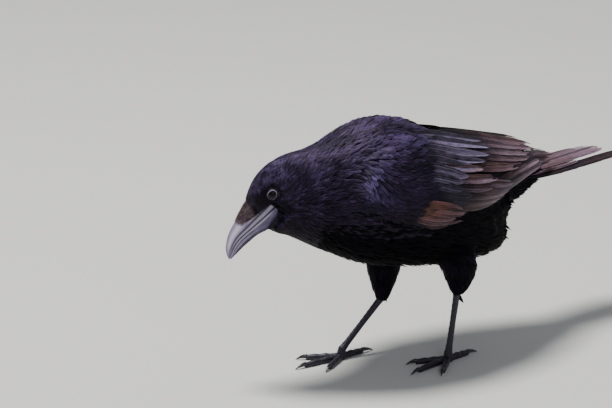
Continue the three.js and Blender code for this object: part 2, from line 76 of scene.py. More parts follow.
def smooth_rows(rows, shares):
    """Points of a curve through given rows of numbers, all interpolated together."""
    rows = np.asarray(rows, float)
    at = np.clip(np.asarray(shares, float), 0, 1) * (len(rows) - 1)
    k = np.minimum(at.astype(int), len(rows) - 2)
    t = (at - k)[..., None]
    before, here = rows[np.maximum(k - 1, 0)], rows[k]
    there, after = rows[k + 1], rows[np.minimum(k + 2, len(rows) - 1)]
    slope_here, slope_there = (there - before) / 2, (after - here) / 2
    return (2 * t**3 - 3 * t**2 + 1) * here + (t**3 - 2 * t**2 + t) * slope_here \
        + (3 * t**2 - 2 * t**3) * there + (t**3 - t**2) * slope_there


def section_share(keys, at):
    """How far through a list of sections, from 0 to 1, the key `at` lies."""
    return np.interp(at, keys, np.linspace(0, 1, len(keys)))


def tree_of(points):
    tree = KDTree(len(points))
    for number, point in enumerate(points):
        tree.insert(point, number)
    tree.balance()
    return tree


def rings(centre, one, other, reach_one, reach_other, turn):
    """Points round centres, by their reach along two directions."""
    return centre + (reach_one * np.cos(turn))[..., None] * one \
        + (reach_other * np.sin(turn))[..., None] * other


# ------------------------------------------------------------------ the crow's own lines
# Places on the bird are [forward, left, up] in millimetres, with the neck straight.
BEND_FROM = 78
BEND_TO = 142
HEAD_YAW = math.radians(30)
BEND_RADIUS = (BEND_TO - BEND_FROM) / HEAD_YAW

GAPE = (157, 165)
BILL_PITCH = math.radians(51)
BILL_COS, BILL_SIN = math.cos(BILL_PITCH), math.sin(BILL_PITCH)
EYE = {"along": -10.2, "above": 12.4, "left": 16, "radius": 6.2}

# Bill sections: distance along it, levels of ridge, mouth line and underside, half width.
BILL_SECTIONS = np.array([
    [-3, 21, 0, -11, 9.6],
    [9, 21, 1.2, -11, 9.2],
    [19, 20, 2.7, -10.6, 8.1],
    [29, 17.8, 4.2, -6.2, 6.9],
    [39, 16.3, 5.7, -4, 5.6],
    [47, 13.8, 5.4, -2.7, 4.4],
    [54, 10, 3.4, -2, 3.2],
    [59, 5.4, 1.4, -1.4, 2],
    [61.5, 1.2, -0.6, -1.2, 0.7],
])

# Outer surface of the left wing, wrist first: forward, then left and up of its upper edge, of its fullest
# line and of its lower edge.
WING_SECTIONS = np.array([
    [108, 34, 190, 43, 174, 41, 158],
    [80, 36, 206, 54, 178, 52, 150],
    [40, 28, 218, 60, 178, 57, 139],
    [0, 18, 212, 60, 172, 54, 136],
    [-40, 8, 203, 54, 170, 47, 138],
    [-80, 3.5, 191, 42, 168, 37, 145],
    [-118, 1.5, 179, 26, 164, 25, 151],
    [-156, 1, 163, 12, 159, 14, 152.5],
])

# Shanks from the heel to the foot joint, and the way that each foot points.
LEGS = {
    "left": {"heel": (-14.5, 33, 62), "foot": (-3, 35), "toe_yaw": 8},
    "right": {"heel": (20, 30.5, 48), "foot": (66, 31.5), "toe_yaw": 4},
}
FOOT_JOINT_UP = 8.5
TOE_RADIUS = 3.1
PAD_REACH = 4.9
TOES = {
    1: {"yaw": 176, "length": 19, "claw": 13, "stout": 1.05},
    2: {"yaw": -33, "length": 25, "claw": 9.5, "stout": 1},
    3: {"yaw": 0, "length": 35, "claw": 11, "stout": 1},
    4: {"yaw": 32, "length": 27, "claw": 9, "stout": 1},
}


def bent(spots):
    """Applies the neck's turn to places on the bird, and gives metres before the shift to the frame."""
    spots = np.asarray(spots, float)
    forward, left, up = spots[..., 0], spots[..., 1], spots[..., 2]
    yaw = np.clip(forward - BEND_FROM, 0, BEND_TO - BEND_FROM) / BEND_RADIUS
    beyond = np.maximum(forward - BEND_TO, 0)
    ahead = np.minimum(forward, BEND_FROM) + BEND_RADIUS * np.sin(yaw) + beyond * np.cos(yaw)
    aside = -BEND_RADIUS * (1 - np.cos(yaw)) - beyond * np.sin(yaw)
    return np.stack([aside + left * np.cos(yaw), -ahead - left * np.sin(yaw), up], -1) * MM


def bill_spots(along, above, left):
    """Places by the bill: along it from the gape, above the gape line, and to the left."""
    along, above, left = np.broadcast_arrays(np.asarray(along, float), above, left)
    forward = GAPE[0] + along * BILL_COS + above * BILL_SIN
    return np.stack([forward, left, GAPE[1] - along * BILL_SIN + above * BILL_COS], -1)


def by_bill(spots):
    """How far along the bill places are, and how far above the gape line."""
    forward, up = spots[:, 0] - GAPE[0], spots[:, 2] - GAPE[1]
    return forward * BILL_COS - up * BILL_SIN, forward * BILL_SIN + up * BILL_COS


EYE_SPOTS = {word: bill_spots(EYE["along"], EYE["above"], side * EYE["left"]) for word, side in SIDES.items()}
LEFT_EYE = EYE_SPOTS["left"]
low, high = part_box("eye_left")
SHIFT = (np.array(low) + np.array(high)) / 2 - bent(LEFT_EYE)


def place(spots):
    """Places on the bird, in the frame's metres."""
    return bent(spots) + SHIFT


def straighten(points):
    """The inverse of place."""
    x, y, z = ((np.asarray(points) - SHIFT) / MM).T
    out, ahead = x + BEND_RADIUS, -y - BEND_FROM
    yaw = np.clip(np.arctan2(ahead, out), 0, HEAD_YAW)
    left = out * np.cos(yaw) + ahead * np.sin(yaw) - BEND_RADIUS
    past = -out * np.sin(yaw) + ahead * np.cos(yaw)
    return np.column_stack([BEND_FROM + yaw * BEND_RADIUS + past, left, z])


def aim(spots, ways):
    """Directions on the bird, turned with the neck, as unit vectors of the frame."""
    short_step = 0.5
    return unit(place(spots + unit(ways) * short_step) - place(spots))


def on_left(spots):
    """Places with those of the bird's right side brought over to its left."""
    return spots * [1, 0, 1] + np.abs(spots) * [0, 1, 0]


def eye_distance(spots):
    return np.linalg.norm((on_left(spots) - LEFT_EYE) * [1, 0.35, 1], axis=-1)


def off_horn(spots):
    """How far places are, in mm, from the part beside the bill that no feathers cover: negative on it.

    That part lies between the gape, the bristles and the chin.
    """
    along, above = by_bill(spots)
    top = np.interp(along, [-3, 3, 19], [1.5, 3.5, 8.0])
    bottom = np.interp(along, [0, 3, 7, 13, 20], [-1.0, -3.5, -5.5, -7.5, -9.5])
    behind = 1.8 - along
    return np.maximum(np.maximum(behind, above - top), bottom - above)


# ------------------------------------------------------------------ camera, light and floor
VIEW_AZIMUTH = math.radians(40)
VIEW_ELEVATION = math.radians(18)
VIEW_DISTANCE = 5.0
PIXEL = 0.0009
IMAGE = (612, 408)
FOOT_PIXEL = (420, 352)
SENSOR = 36.0

# Lamps: where they stand, what they light, their size, power and colour.
LAMPS = {
    "key": [(-0.45, -0.35, 2.5), (0, 0, 0.15), 0.7, 96, (1, 0.98, 0.95)],
    "fill": [(2.2, -0.9, 1.5), (0, 0, 0.12), 1.2, 10, (0.86, 0.88, 1)],
}
SKY_COLOUR = (0.86, 0.89, 0.94, 1)
SKY_STRENGTH = 0.33
FLOOR_SIZE = 24


def add_camera():
    ca, sa = math.cos(VIEW_AZIMUTH), math.sin(VIEW_AZIMUTH)
    ce, se = math.cos(VIEW_ELEVATION), math.sin(VIEW_ELEVATION)
    back = Vector((ca * ce, -sa * ce, se))
    right = Vector((sa, ca, 0))
    up = Vector((-ca * se, sa * se, ce))
    aim_at = right * (IMAGE[0] / 2 - FOOT_PIXEL[0]) * PIXEL + up * (FOOT_PIXEL[1] - IMAGE[1] / 2) * PIXEL
    camera = bpy.data.objects.new("camera", bpy.data.cameras.new("camera"))
    camera.location = aim_at + back * VIEW_DISTANCE + Vector(SHIFT)
    camera.rotation_euler = (-back).to_track_quat("-Z", "Y").to_euler()
    camera.data.lens = SENSOR * VIEW_DISTANCE / (PIXEL * IMAGE[0])
    camera.data.sensor_width = SENSOR
    camera.data.clip_end = 50
    bpy.context.scene.collection.objects.link(camera)
    bpy.context.scene.camera = camera


def add_studio():
    for name, (stand, aim_at, size, power, colour) in LAMPS.items():
        data = bpy.data.lights.new(name, "AREA")
        data.shape, data.size, data.energy, data.color = "DISK", size, power, colour
        light = bpy.data.objects.new(name, data)
        light.location = stand
        light.rotation_euler = (Vector(stand) - Vector(aim_at)).to_track_quat("Z", "Y").to_euler()
        bpy.context.scene.collection.objects.link(light)
    world = bpy.data.worlds.new("studio")
    world.use_nodes = True
    background = world.node_tree.nodes["Background"]
    background.inputs["Color"].default_value = SKY_COLOUR
    background.inputs["Strength"].default_value = SKY_STRENGTH
    bpy.context.scene.world = world
    bpy.ops.mesh.primitive_plane_add(size=FLOOR_SIZE)
    floor = bpy.context.object
    floor.name = "floor"
    floor.data.materials.append(floor_material())


# ------------------------------------------------------------------ materials
class Nodes:
    """A small helper that adds nodes to one material."""

    def __init__(self, name):
        self.material = bpy.data.materials.new(name)
        self.material.use_nodes = True
        self.tree = self.material.node_tree

    def add(self, kind, inputs, **settings):
        node = self.tree.nodes.new(kind)
        for key, value in settings.items():
            setattr(node, key, value)
        for key, value in inputs.items():
            self.feed(node.inputs[key], value)
        return node

    def feed(self, socket, value):
        if isinstance(value, bpy.types.NodeSocket):
            self.tree.links.new(value, socket)
        elif hasattr(socket.default_value, "__len__") and len(socket.default_value) == 4 and len(value) == 3:
            socket.default_value = (*value, 1)
        else:
            socket.default_value = value

    def maths(self, operation, a, b=0.0, clamp=False):
        return self.add("ShaderNodeMath", {0: a, 1: b}, operation=operation, use_clamp=clamp).outputs[0]

    def times(self, a, b, clamp=False):
        return self.maths("MULTIPLY", a, b, clamp)

    def vectors(self, operation, inputs, output=0):
        return self.add("ShaderNodeVectorMath", inputs, operation=operation).outputs[output]

    def mix(self, factor, a, b):
        return self.add("ShaderNodeMix", {0: factor, 6: a, 7: b}, data_type="RGBA").outputs[2]

    def spread(self, value, low, high, to_low=0.0, to_high=1.0):
        return self.add("ShaderNodeMapRange", {0: value, 1: low, 2: high, 3: to_low, 4: to_high}).outputs[0]

    def spot(self, scale=(1, 1, 1)):
        coordinates = self.add("ShaderNodeTexCoord", {})
        return self.add("ShaderNodeMapping", {0: coordinates.outputs["Object"], "Scale": scale}).outputs[0]

    def noise(self, scale, detail=3.0, vector=None, roughness=0.55):
        vector = self.spot() if vector is None else vector
        inputs = {"Vector": vector, "Scale": scale, "Detail": detail, "Roughness": roughness}
        return self.add("ShaderNodeTexNoise", inputs).outputs[0]

    def bump(self, height, distance, strength=1.0, before=None):
        inputs = {"Strength": strength, "Distance": distance, "Height": height}
        if before is not None:
            inputs["Normal"] = before
        return self.add("ShaderNodeBump", inputs).outputs[0]

    def lay(self):
        """The four numbers that each point of a mesh carries."""
        store = self.add("ShaderNodeAttribute", {}, attribute_name="lay")
        parts = self.add("ShaderNodeSeparateColor", {0: store.outputs[0]}).outputs
        return parts[0], parts[1], parts[2], store.outputs[3]

    def finish(self, **sockets):
        shader = self.tree.nodes["Principled BSDF"]
        for key, value in sockets.items():
            self.feed(shader.inputs[key.replace("_", " ")], value)
        return self.material


def floor_material():
    m = Nodes("floor")
    colour = m.mix(m.noise(900.0, 2.0), (0.60, 0.60, 0.58), (0.64, 0.64, 0.62))
    return m.finish(Base_Color=colour, Roughness=0.85)


# Kinds of feather: colours in the shade and in the light, both painted, between which each feather's own tone
# also runs; at the rim, pale fringes with a painted rim highlight; and in the painted highlight, which on
# worn vanes also gives their front its own warm brown. Then the tint of the reflections, roughness, specular
# level, barb spacing in mm, and how strongly pale feathers stand out.
FEATHERS = {
    "plumage": {
        "dark": (0.0009, 0.0007, 0.0014), "light": (0.052, 0.032, 0.092), "rim": (0.125, 0.085, 0.205),
        "glint_and_worn_colour": (0.19, 0.155, 0.38), "tint": (0.8, 0.66, 1.0), "look": (0.46, 0.2, 0.5, 2.6)},
    "plumage_head": {
        "dark": (0.0008, 0.0006, 0.0012), "light": (0.056, 0.036, 0.098), "rim": (0.155, 0.108, 0.245),
        "glint_and_worn_colour": (0.13, 0.10, 0.21), "tint": (0.8, 0.66, 1.0), "look": (0.48, 0.18, 0.35, 4.6)},
    # the plumage in painted shade, for the underside, the flanks under the wings, the rump and the thighs
    "plumage_under_shaded": {
        "dark": (0.0006, 0.0005, 0.0008), "light": (0.014, 0.010, 0.019), "rim": (0.030, 0.023, 0.042),
        "glint_and_worn_colour": (0.10, 0.09, 0.20), "tint": (0.8, 0.7, 1.0), "look": (0.6, 0.06, 0.5, 1.6)},
    "covert_vane": {
        "dark": (0.0035, 0.0028, 0.0050), "light": (0.200, 0.155, 0.275), "rim": (0.38, 0.33, 0.48),
        "glint_and_worn_colour": (0.36, 0.32, 0.50), "tint": (0.85, 0.78, 1.0), "look": (0.42, 0.2, 0.6, 1.6)},
    "flight_vane": {
        "dark": (0.0030, 0.0022, 0.0032), "light": (0.172, 0.108, 0.158), "rim": (0.32, 0.22, 0.28),
        "glint_and_worn_colour": (0.46, 0.33, 0.41), "tint": (0.9, 0.82, 1.0), "look": (0.44, 0.14, 0.6, 1.6),
        "wear": (0.125, 0.060, 0.052)},
    # worn vanes: their highlight colour is also the warm brown of their worn front
    "worn_vane": {
        "dark": (0.0030, 0.0018, 0.0024), "light": (0.150, 0.078, 0.100), "rim": (0.25, 0.155, 0.185),
        "glint_and_worn_colour": (0.25, 0.105, 0.072), "tint": (1.0, 0.9, 0.94), "look": (0.48, 0.14, 0.6, 1.6)},
}
BARB_SLANT = (0.88, 0.47)
# painted shade in the gaps between barbs
SHADE_BETWEEN_BARBS = (0.0012, 0.0010, 0.0016)


def feather_material(name):
    """Barbed vanes. 'vane' holds across and along in mm; 'lay' holds tone, the painted upper light, edge, and
    the painted highlight, which on worn vanes also carries their front's own warm brown.
    """
    kind = FEATHERS[name]
    roughness, specular, barb_pitch, sharp = kind["look"]
    m = Nodes(name)
    vane = m.add("ShaderNodeUVMap", {}, uv_map="vane").outputs[0]
    across, along, _ = m.add("ShaderNodeSeparateXYZ", {0: vane}).outputs
    tone, upper, edge, glint_and_wear = m.lay()
    # barbs leave the shaft at a slant towards the tip, in both webs
    out = m.times(m.maths("ABSOLUTE", across), BARB_SLANT[0])
    slant = m.maths("SUBTRACT", out, m.times(along, BARB_SLANT[1]))
    wander = m.times(m.noise(300.0, 3.0), barb_pitch * 2.2)
    phase = m.times(m.maths("ADD", slant, wander), 2 * math.pi / barb_pitch)
    barbs = m.times(m.maths("ADD", m.maths("SINE", phase), 1.0), 0.5)
    # fibres run along the vane, and differ from one feather to the next
    shift = m.times(tone, 37.0)
    lengthwise = m.add("ShaderNodeCombineXYZ", {
        0: m.maths("ADD", m.times(across, 1.5), shift), 1: m.times(along, 0.10), 2: shift}).outputs[0]
    fibres = m.noise(1.0, 4.0, lengthwise, 0.7)
    mottle = m.noise(120.0, 4.0)
    # paleness: each feather's own tone, mottle and fibres, times the painted light of the upper side
    shade = m.times(m.maths("POWER", tone, sharp), 0.29 * (sharp + 1))
    shade = m.maths("ADD", shade, m.spread(mottle, 0.35, 0.7, 0.0, 0.22))
    shade = m.times(shade, m.spread(fibres, 0.36, 0.66, 0.15, 1.6))
    shade = m.times(shade, m.spread(upper, 0.0, 1.0, 0.08, 1.0), clamp=True)
    colour = m.mix(shade, kind["dark"], kind["light"])
    # pale fringes at the edges and tip, shown only on the lit upper side as a painted rim highlight
    fringe_and_rim_highlight = m.times(m.maths("POWER", edge, 3.0), m.times(upper, 0.8), clamp=True)
    colour = m.mix(m.times(fringe_and_rim_highlight, m.spread(tone, 0.0, 1.0, 0.15, 1.0)), colour, kind["rim"])
    if "wear" in kind:
        patches = m.spread(m.noise(48.0, 4.0, m.spot((1, 0.5, 1))), 0.44, 0.62)
        worn = m.times(m.spread(fibres, 0.42, 0.62, 0.1, 1.0), m.spread(upper, 0.0, 1.0, 0.0, 0.9))
        colour = m.mix(m.times(patches, worn), colour, kind["wear"])
    # painted highlight along the fibres in its highlight colour; on worn vanes the same channel gives their
    # front its own warm brown
    shine = m.times(glint_and_wear, m.spread(fibres, 0.4, 0.62, 0.2, 1.0), clamp=True)
    colour = m.mix(shine, colour, kind["glint_and_worn_colour"])
    # painted shade in the gaps between the barbs
    colour = m.mix(m.times(barbs, 0.3), colour, SHADE_BETWEEN_BARBS)
    polish = m.spread(mottle, 0.3, 0.7, roughness - 0.06, roughness + 0.08)
    normal = m.bump(barbs, 0.00010, 0.4, m.bump(fibres, 0.0006, 0.6))
    return m.finish(Base_Color=colour, Roughness=polish, Normal=normal, Specular_IOR_Level=specular,
                    Specular_Tint=kind["tint"])


def skin_material():
    m = Nodes("bare_skin")
    grain = m.noise(700.0, 4.0)
    colour = m.mix(grain, (0.006, 0.005, 0.008), (0.02, 0.016, 0.022))
    return m.finish(Base_Color=colour, Roughness=0.7, Normal=m.bump(grain, 0.0003, 0.5))


def lid_material():
    m = Nodes("eyelid")
    grain = m.noise(1600.0, 3.0)
    # the lid's rim is paler, and lid_grid makes it palest above as painted light
    pale = m.times(m.lay()[0], m.spread(grain, 0.3, 0.7, 0.7, 1.0))
    colour = m.mix(grain, (0.0015, 0.0012, 0.002), (0.005, 0.0045, 0.0065))
    colour = m.mix(pale, colour, (0.27, 0.23, 0.37))
    return m.finish(Base_Color=colour, Roughness=0.55, Normal=m.bump(grain, 0.00015, 0.5),
                    Specular_IOR_Level=0.12)


def leg_material():
    m = Nodes("leg_scales")
    grain = m.noise(500.0, 4.0)
    colour = m.mix(m.noise(90.0, 2.0), (0.005, 0.0045, 0.006), (0.020, 0.017, 0.025))
    colour = m.mix(m.times(grain, 0.3), colour, (0.035, 0.030, 0.040))
    cells = m.add("ShaderNodeTexVoronoi", {"Vector": m.spot(), "Scale": 900.0}, feature="DISTANCE_TO_EDGE")
    creases = m.spread(cells.outputs[0], 0.0, 0.12)
    normal = m.bump(creases, 0.00012, 0.5, m.bump(grain, 0.0002, 0.4))
    return m.finish(Base_Color=colour, Roughness=m.spread(grain, 0.3, 0.7, 0.32, 0.5), Normal=normal,
                    Specular_Tint=(0.85, 0.8, 1.0))


def bill_material():
    m = Nodes("bill_horn")
    streaks = m.noise(60.0, 5.0, m.spot((7, 2.6, 2.6)))
    scratches = m.noise(420.0, 4.0, m.spot((1, 1, 0.25)))
    pale, dark, _, _ = m.lay()
    # the horn's own clouds and lengthwise streaks, in lilac-grey: the black horn lightened as a painted sky
    # reflection
    colour = m.mix(m.spread(m.noise(70.0, 4.0), 0.3, 0.7), (0.070, 0.052, 0.115), (0.20, 0.165, 0.30))
    colour = m.mix(m.spread(streaks, 0.5, 0.75, 0.0, 0.5), colour, (0.34, 0.30, 0.46))
    # painted highlight bands, then painted shade in the groove, along the cutting edge, under the lower half
    # and in the mouth
    colour = m.mix(pale, colour, (0.90, 0.82, 1.0))
    colour = m.mix(dark, colour, (0.006, 0.005, 0.009))
    normal = m.bump(streaks, 0.0004, 0.25, m.bump(scratches, 0.00015, 0.35))
    return m.finish(Base_Color=colour, Roughness=m.spread(scratches, 0.3, 0.75, 0.24, 0.40), Normal=normal,
                    Specular_IOR_Level=0.35, Specular_Tint=(0.86, 0.8, 1.0), Coat_Weight=0.12,
                    Coat_Roughness=0.2)


def claw_material():
    m = Nodes("claw_horn")
    streaks = m.noise(300.0, 4.0)
    colour = m.mix(streaks, (0.006, 0.005, 0.007), (0.03, 0.026, 0.034))
    return m.finish(Base_Color=colour, Roughness=m.spread(streaks, 0.3, 0.7, 0.2, 0.34),
                    Normal=m.bump(streaks, 0.0002, 0.3), Coat_Weight=0.3, Coat_Roughness=0.15)


def eye_material(centre, gaze):
    """Black pupil in a near-black brown iris, by the angle away from the line of sight."""
    m = Nodes("eye_globe")
    offset = m.vectors("SUBTRACT", {0: m.spot(), 1: tuple(centre)})
    towards = m.vectors("NORMALIZE", {0: offset})
    facing = m.vectors("DOT_PRODUCT", {0: towards, 1: tuple(gaze)}, output=1)
    iris = m.mix(m.noise(2600.0, 3.0), (0.004, 0.0025, 0.0016), (0.014, 0.008, 0.005))
    colour = m.mix(m.spread(facing, 0.90, 0.915), iris, (0.001, 0.001, 0.001))
    colour = m.mix(m.spread(facing, 0.70, 0.76, 1.0, 0.0), colour, (0.004, 0.003, 0.003))
    return m.finish(Base_Color=colour, Roughness=0.12, Specular_IOR_Level=0.15, Coat_Weight=0.12,
                    Coat_Roughness=0.02)


def bristle_material():
    m = Nodes("bristles")
    tone, front, _, _ = m.lay()
    patches = m.noise(160.0, 3.0)
    warm = m.mix(m.maths("POWER", tone, 2.0), (0.020, 0.011, 0.014), (0.34, 0.22, 0.24))
    colour = m.mix(m.times(front, m.spread(patches, 0.2, 0.6, 0.6, 1.0)), (0.006, 0.005, 0.007), warm)
    return m.finish(Base_Color=colour, Roughness=0.6, Normal=m.bump(patches, 0.0003, 0.2))


# ------------------------------------------------------------------ meshes
TUFT_PATCH = 0.0015  # half the width of a feather's patch on the OFBake map


class Sheets:
    """Gathers grids of points into one mesh, with their vane, coat and lay values."""

    def __init__(self):
        self.points, self.quads, self.vane, self.patch, self.lay = [], [], [], [], []
        self.count = 0

    def add(self, grid, vane=None, patch=None, lay=None, wrap=False):
        """grid is (sheets, rows, columns, 3). The other values broadcast over it, lay with four numbers."""
        n, rows, columns = grid.shape[:3]
        index = np.arange(n * rows * columns).reshape(n, rows, columns) + self.count
        after = np.roll(index, -1, axis=2) if wrap else index[:, :, 1:]
        before = index if wrap else index[:, :, :-1]
        quads = np.stack([before[:, :-1], after[:, :-1], after[:, 1:], before[:, 1:]], -1)
        self.points.append(grid.reshape(-1, 3))
        self.quads.append(quads.reshape(-1, 4))
        for store, value, size in ((self.vane, vane, 2), (self.patch, patch, 2), (self.lay, lay, 4)):
            value = np.zeros(size) if value is None else value
            store.append(np.broadcast_to(value, (n, rows, columns, size)).reshape(-1, size))
        self.count += n * rows * columns

    def build(self, name, material, slot, stands_for=None, closed=False, unwrapped=False):
        """Makes the piece, which may replace a CAD node, have its ends closed, or carry the coat's map."""
        points, quads = np.concatenate(self.points), np.concatenate(self.quads)
        corners = quads.ravel()
        mesh = bpy.data.meshes.new(name)
        mesh.vertices.add(len(points))
        mesh.vertices.foreach_set("co", points.ravel())
        mesh.loops.add(quads.size)
        mesh.loops.foreach_set("vertex_index", corners)
        mesh.polygons.add(len(quads))
        mesh.polygons.foreach_set("loop_start", np.arange(0, quads.size, 4))
        mesh.polygons.foreach_set("use_smooth", np.ones(len(quads), bool))
        maps = {"OFBake": self.patch, "vane": self.vane} if unwrapped else {"vane": self.vane}
        for word, values in maps.items():
            mesh.uv_layers.new(name=word).data.foreach_set("uv", np.concatenate(values)[corners].ravel())
        lay = mesh.attributes.new("lay", "FLOAT_COLOR", "POINT")
        lay.data.foreach_set("color", np.concatenate(self.lay).ravel())
        mesh.update(calc_edges=True)
        mesh.materials.append(material)
        if closed:
            close_ends(mesh)
        piece = bpy.data.objects.new(name, mesh)
        bpy.context.scene.collection.objects.link(piece)
        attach(piece, "root")
        if stands_for:
            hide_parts(stands_for)
        return piece


def close_ends(mesh):
    work = bmesh.new()
    work.from_mesh(mesh)
    bmesh.ops.holes_fill(work, edges=[e for e in work.edges if e.is_boundary])
    bmesh.ops.recalc_face_normals(work, faces=work.faces)
    work.to_mesh(mesh)
    work.free()


def settle(piece):
    """Turns a piece's modifiers into its own mesh."""
    graph = bpy.context.evaluated_depsgraph_get()
    piece.data = bpy.data.meshes.new_from_object(piece.evaluated_get(graph))
    piece.modifiers.clear()


def soften(piece, rounds):
    modifier = piece.modifiers.new("soften", "SMOOTH")
    modifier.factor, modifier.iterations = 0.5, rounds


# ------------------------------------------------------------------ body form
FLESH = ["head", "neck", "trunk", "rump", "thigh_left", "thigh_right", "wing_arm_left", "wing_arm_right"]
SWELL = 0.0003
VOXEL = 0.002

# How the crease where a wing meets the trunk is smoothed: how far it spreads, from what level up, how much.
JOIN = {"reach": 8, "fade": 0.88, "above": 160, "rounds": 30, "strength": 0.6}
HORN_INSIDE = 5.0
HORN_SLOPE = 2.0
SOCKET_DEPTH = 1.8
VENT_HOLLOW = 8.0


def merged_form():
    """One closed mesh with even faces round the flesh and the eyes."""
    mesh = bmesh.new()
    for node in FLESH + ["eye_left", "eye_right"]:
        first = len(mesh.verts)
        mesh.from_mesh(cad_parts[node].data)
        mesh.verts.ensure_lookup_table()
        bmesh.ops.remove_doubles(mesh, verts=mesh.verts[first:], dist=1e-6)
        mesh.verts.ensure_lookup_table()
        mesh.normal_update()
        for vert in mesh.verts[first:]:
            vert.co += vert.normal * SWELL
    data = bpy.data.meshes.new("form")
    mesh.to_mesh(data)
    mesh.free()
    piece = bpy.data.objects.new("form", data)
    bpy.context.scene.collection.objects.link(piece)
    remesh = piece.modifiers.new("remesh", "REMESH")
    remesh.mode, remesh.voxel_size = "VOXEL", VOXEL
    soften(piece, 5)
    settle(piece)
    return piece


def part_finder():
    """The CAD nodes' faces in one tree, with the name of each face's node."""
    points, faces, names = [], [], []
    for node in FLESH:
        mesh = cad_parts[node].data
        start = len(points)
        points += [v.co[:] for v in mesh.vertices]
        faces += [[start + i for i in p.vertices] for p in mesh.polygons]
        names += [node] * len(mesh.polygons)
    return BVHTree.FromPolygons(points, faces), names


form = merged_form()
PART_TREE, PART_NAMES = part_finder()


def part_of(points):
    return np.array([PART_NAMES[PART_TREE.find_nearest(p)[2]] for p in points])


def eased_joins():
    """The form's points, with the crease where each wing meets the trunk smoothed out."""
    mesh = form.data
    points = np.array([v.co for v in mesh.vertices])
    edges = np.empty(len(mesh.edges) * 2, int)
    mesh.edges.foreach_get("vertices", edges)
    a, b = edges.reshape(-1, 2).T
    count = np.bincount(edges, minlength=len(points))[:, None]
    arm = np.char.startswith(part_of(points), "wing_arm")
    border = arm[a] != arm[b]
    near = np.zeros(len(points))
    near[a[border]] = near[b[border]] = 1
    for _ in range(JOIN["reach"]):
        spread = near.copy()
        np.maximum.at(spread, a, near[b] * JOIN["fade"])
        np.maximum.at(spread, b, near[a] * JOIN["fade"])
        near = spread
    near = near * (straighten(points)[:, 2] > JOIN["above"])
    for _ in range(JOIN["rounds"]):
        total = np.zeros_like(points)
        np.add.at(total, a, points[b])
        np.add.at(total, b, points[a])
        points = points + (total / count - points) * near[:, None] * JOIN["strength"]
    return points


def reshape_form(points):
    form.data.vertices.foreach_set("co", points.ravel())
    form.data.update()
    return points, np.array([v.normal for v in form.data.vertices])


def shape_form():
    """The form's points and normals, once its joins, bill sides, eye sockets and vent are shaped."""
    points, normals = reshape_form(eased_joins())
    # the horn shows from the gape forward, so the flesh beside it draws in
    spots = straighten(points)
    widest = HORN_INSIDE + np.maximum(off_horn(spots), 0) * HORN_SLOPE
    spots[:, 1] = np.clip(spots[:, 1], -widest, widest)
    points, normals = reshape_form(place(spots))
    # each eye lies in a shallow socket, deeper at its back
    spots = straighten(points)
    socket = 1 - ease(eye_distance(spots), 5.4, 9.0)
    socket = socket * (0.3 + 0.7 * ease(LEFT_EYE[0] - spots[:, 0], -3, 4))
    points, normals = reshape_form(points - normals * socket[:, None] * SOCKET_DEPTH * MM)
    # the coat hangs thinly over the vent, behind the legs
    up = straighten(points)[:, 2]
    hollow = ease(normals[:, 1], 0.25, 0.8) * ease(up, 82, 104) * ease(up, 152, 128)
    return reshape_form(points - normals * hollow[:, None] * VENT_HOLLOW * MM)


form_points, form_normals = shape_form()
SURFACE = BVHTree.FromPolygons(form_points.tolist(), [p.vertices[:] for p in form.data.polygons])
POINT_FINDER = tree_of(form_points)


# ------------------------------------------------------------------ the coat's lie and sizes
# Coat by distance forward: length, width, gap between roots and depth, in mm, on the back and below.
BACK_COAT = [
    [-142, 20, 4, 3.2, 3.0], [-80, 24, 5, 3.4, 4.0], [-40, 26, 6.4, 3.8, 4.4], [0, 26, 7, 4.0, 4.5],
    [60, 20, 6.0, 3.5, 4.5], [88, 16, 3.8, 2.7, 3.8], [110, 12.5, 2.6, 2.0, 2.8], [132, 8.5, 1.7, 1.58, 1.9],
    [150, 5.4, 1.25, 1.16, 1.4], [168, 3.8, 1.1, 0.95, 1.0], [182, 3.0, 0.95, 0.84, 0.8],
]
BELLY_COAT = [
    [-142, 18, 2.6, 2.4, 3.0], [-80, 22, 2.6, 2.4, 5.0], [-30, 26, 3.6, 3.2, 6.0], [0, 28, 4.6, 3.8, 6.5],
    [60, 22, 4.0, 3.5, 5.5], [88, 18, 4.4, 3.3, 4.2], [110, 14, 3.0, 2.3, 3.2], [132, 10, 2.0, 1.6, 2.1],
    [150, 6.2, 1.4, 1.15, 1.4], [168, 4.0, 1.15, 0.92, 1.0], [182, 3.0, 0.95, 0.8, 0.8],
]
ARM_COAT = [[0, 27, 3.6, 2.8, 2.6], [50, 21, 3.2, 2.6, 2.4], [80, 15, 2.7, 2.2, 2.2], [106, 10, 2.4, 2, 2]]
# The thighs' coat by distance up, and the coat round the eyes.
THIGH_COAT = [[40, 9, 2.4, 2.0, 1.2], [60, 14, 3.4, 2.6, 2.2], [90, 18, 5, 3.6, 3.2], [122, 22, 7, 5, 4.0]]
FACE_COAT = np.array([2.4, 1.0, 0.8, 0.7])

# Pitch of the feathers' run towards the tail, by distance forward: up the nape, level on the back.
RUN_PITCH = [[-140, -8], [-60, -14], [20, -10], [70, 0], [100, 6], [120, 12]]
HEAD_FAN = {"forward": 161, "up": 163, "lowest": math.radians(-14), "highest": math.radians(74)}
SHOULDER = {"forward": 90, "up": 193, "reach": (16, 24)}
BILL_ROOT = bill_spots(14, 4, 0)


def on_limb(parts):
    return np.char.startswith(parts, "thigh") | np.char.startswith(parts, "wing_arm")


def over_wing(spots, normals, parts):
    """How far a place grows the long shoulder feathers that lie over the wing's upper edge."""
    back = ease(spots[:, 0], -8, 14) * ease(spots[:, 0], 84, 62) * ease(normals[:, 2], 0.2, 0.6)
    return back * ease(np.abs(spots[:, 1]), 6, 15) * ~on_limb(parts)


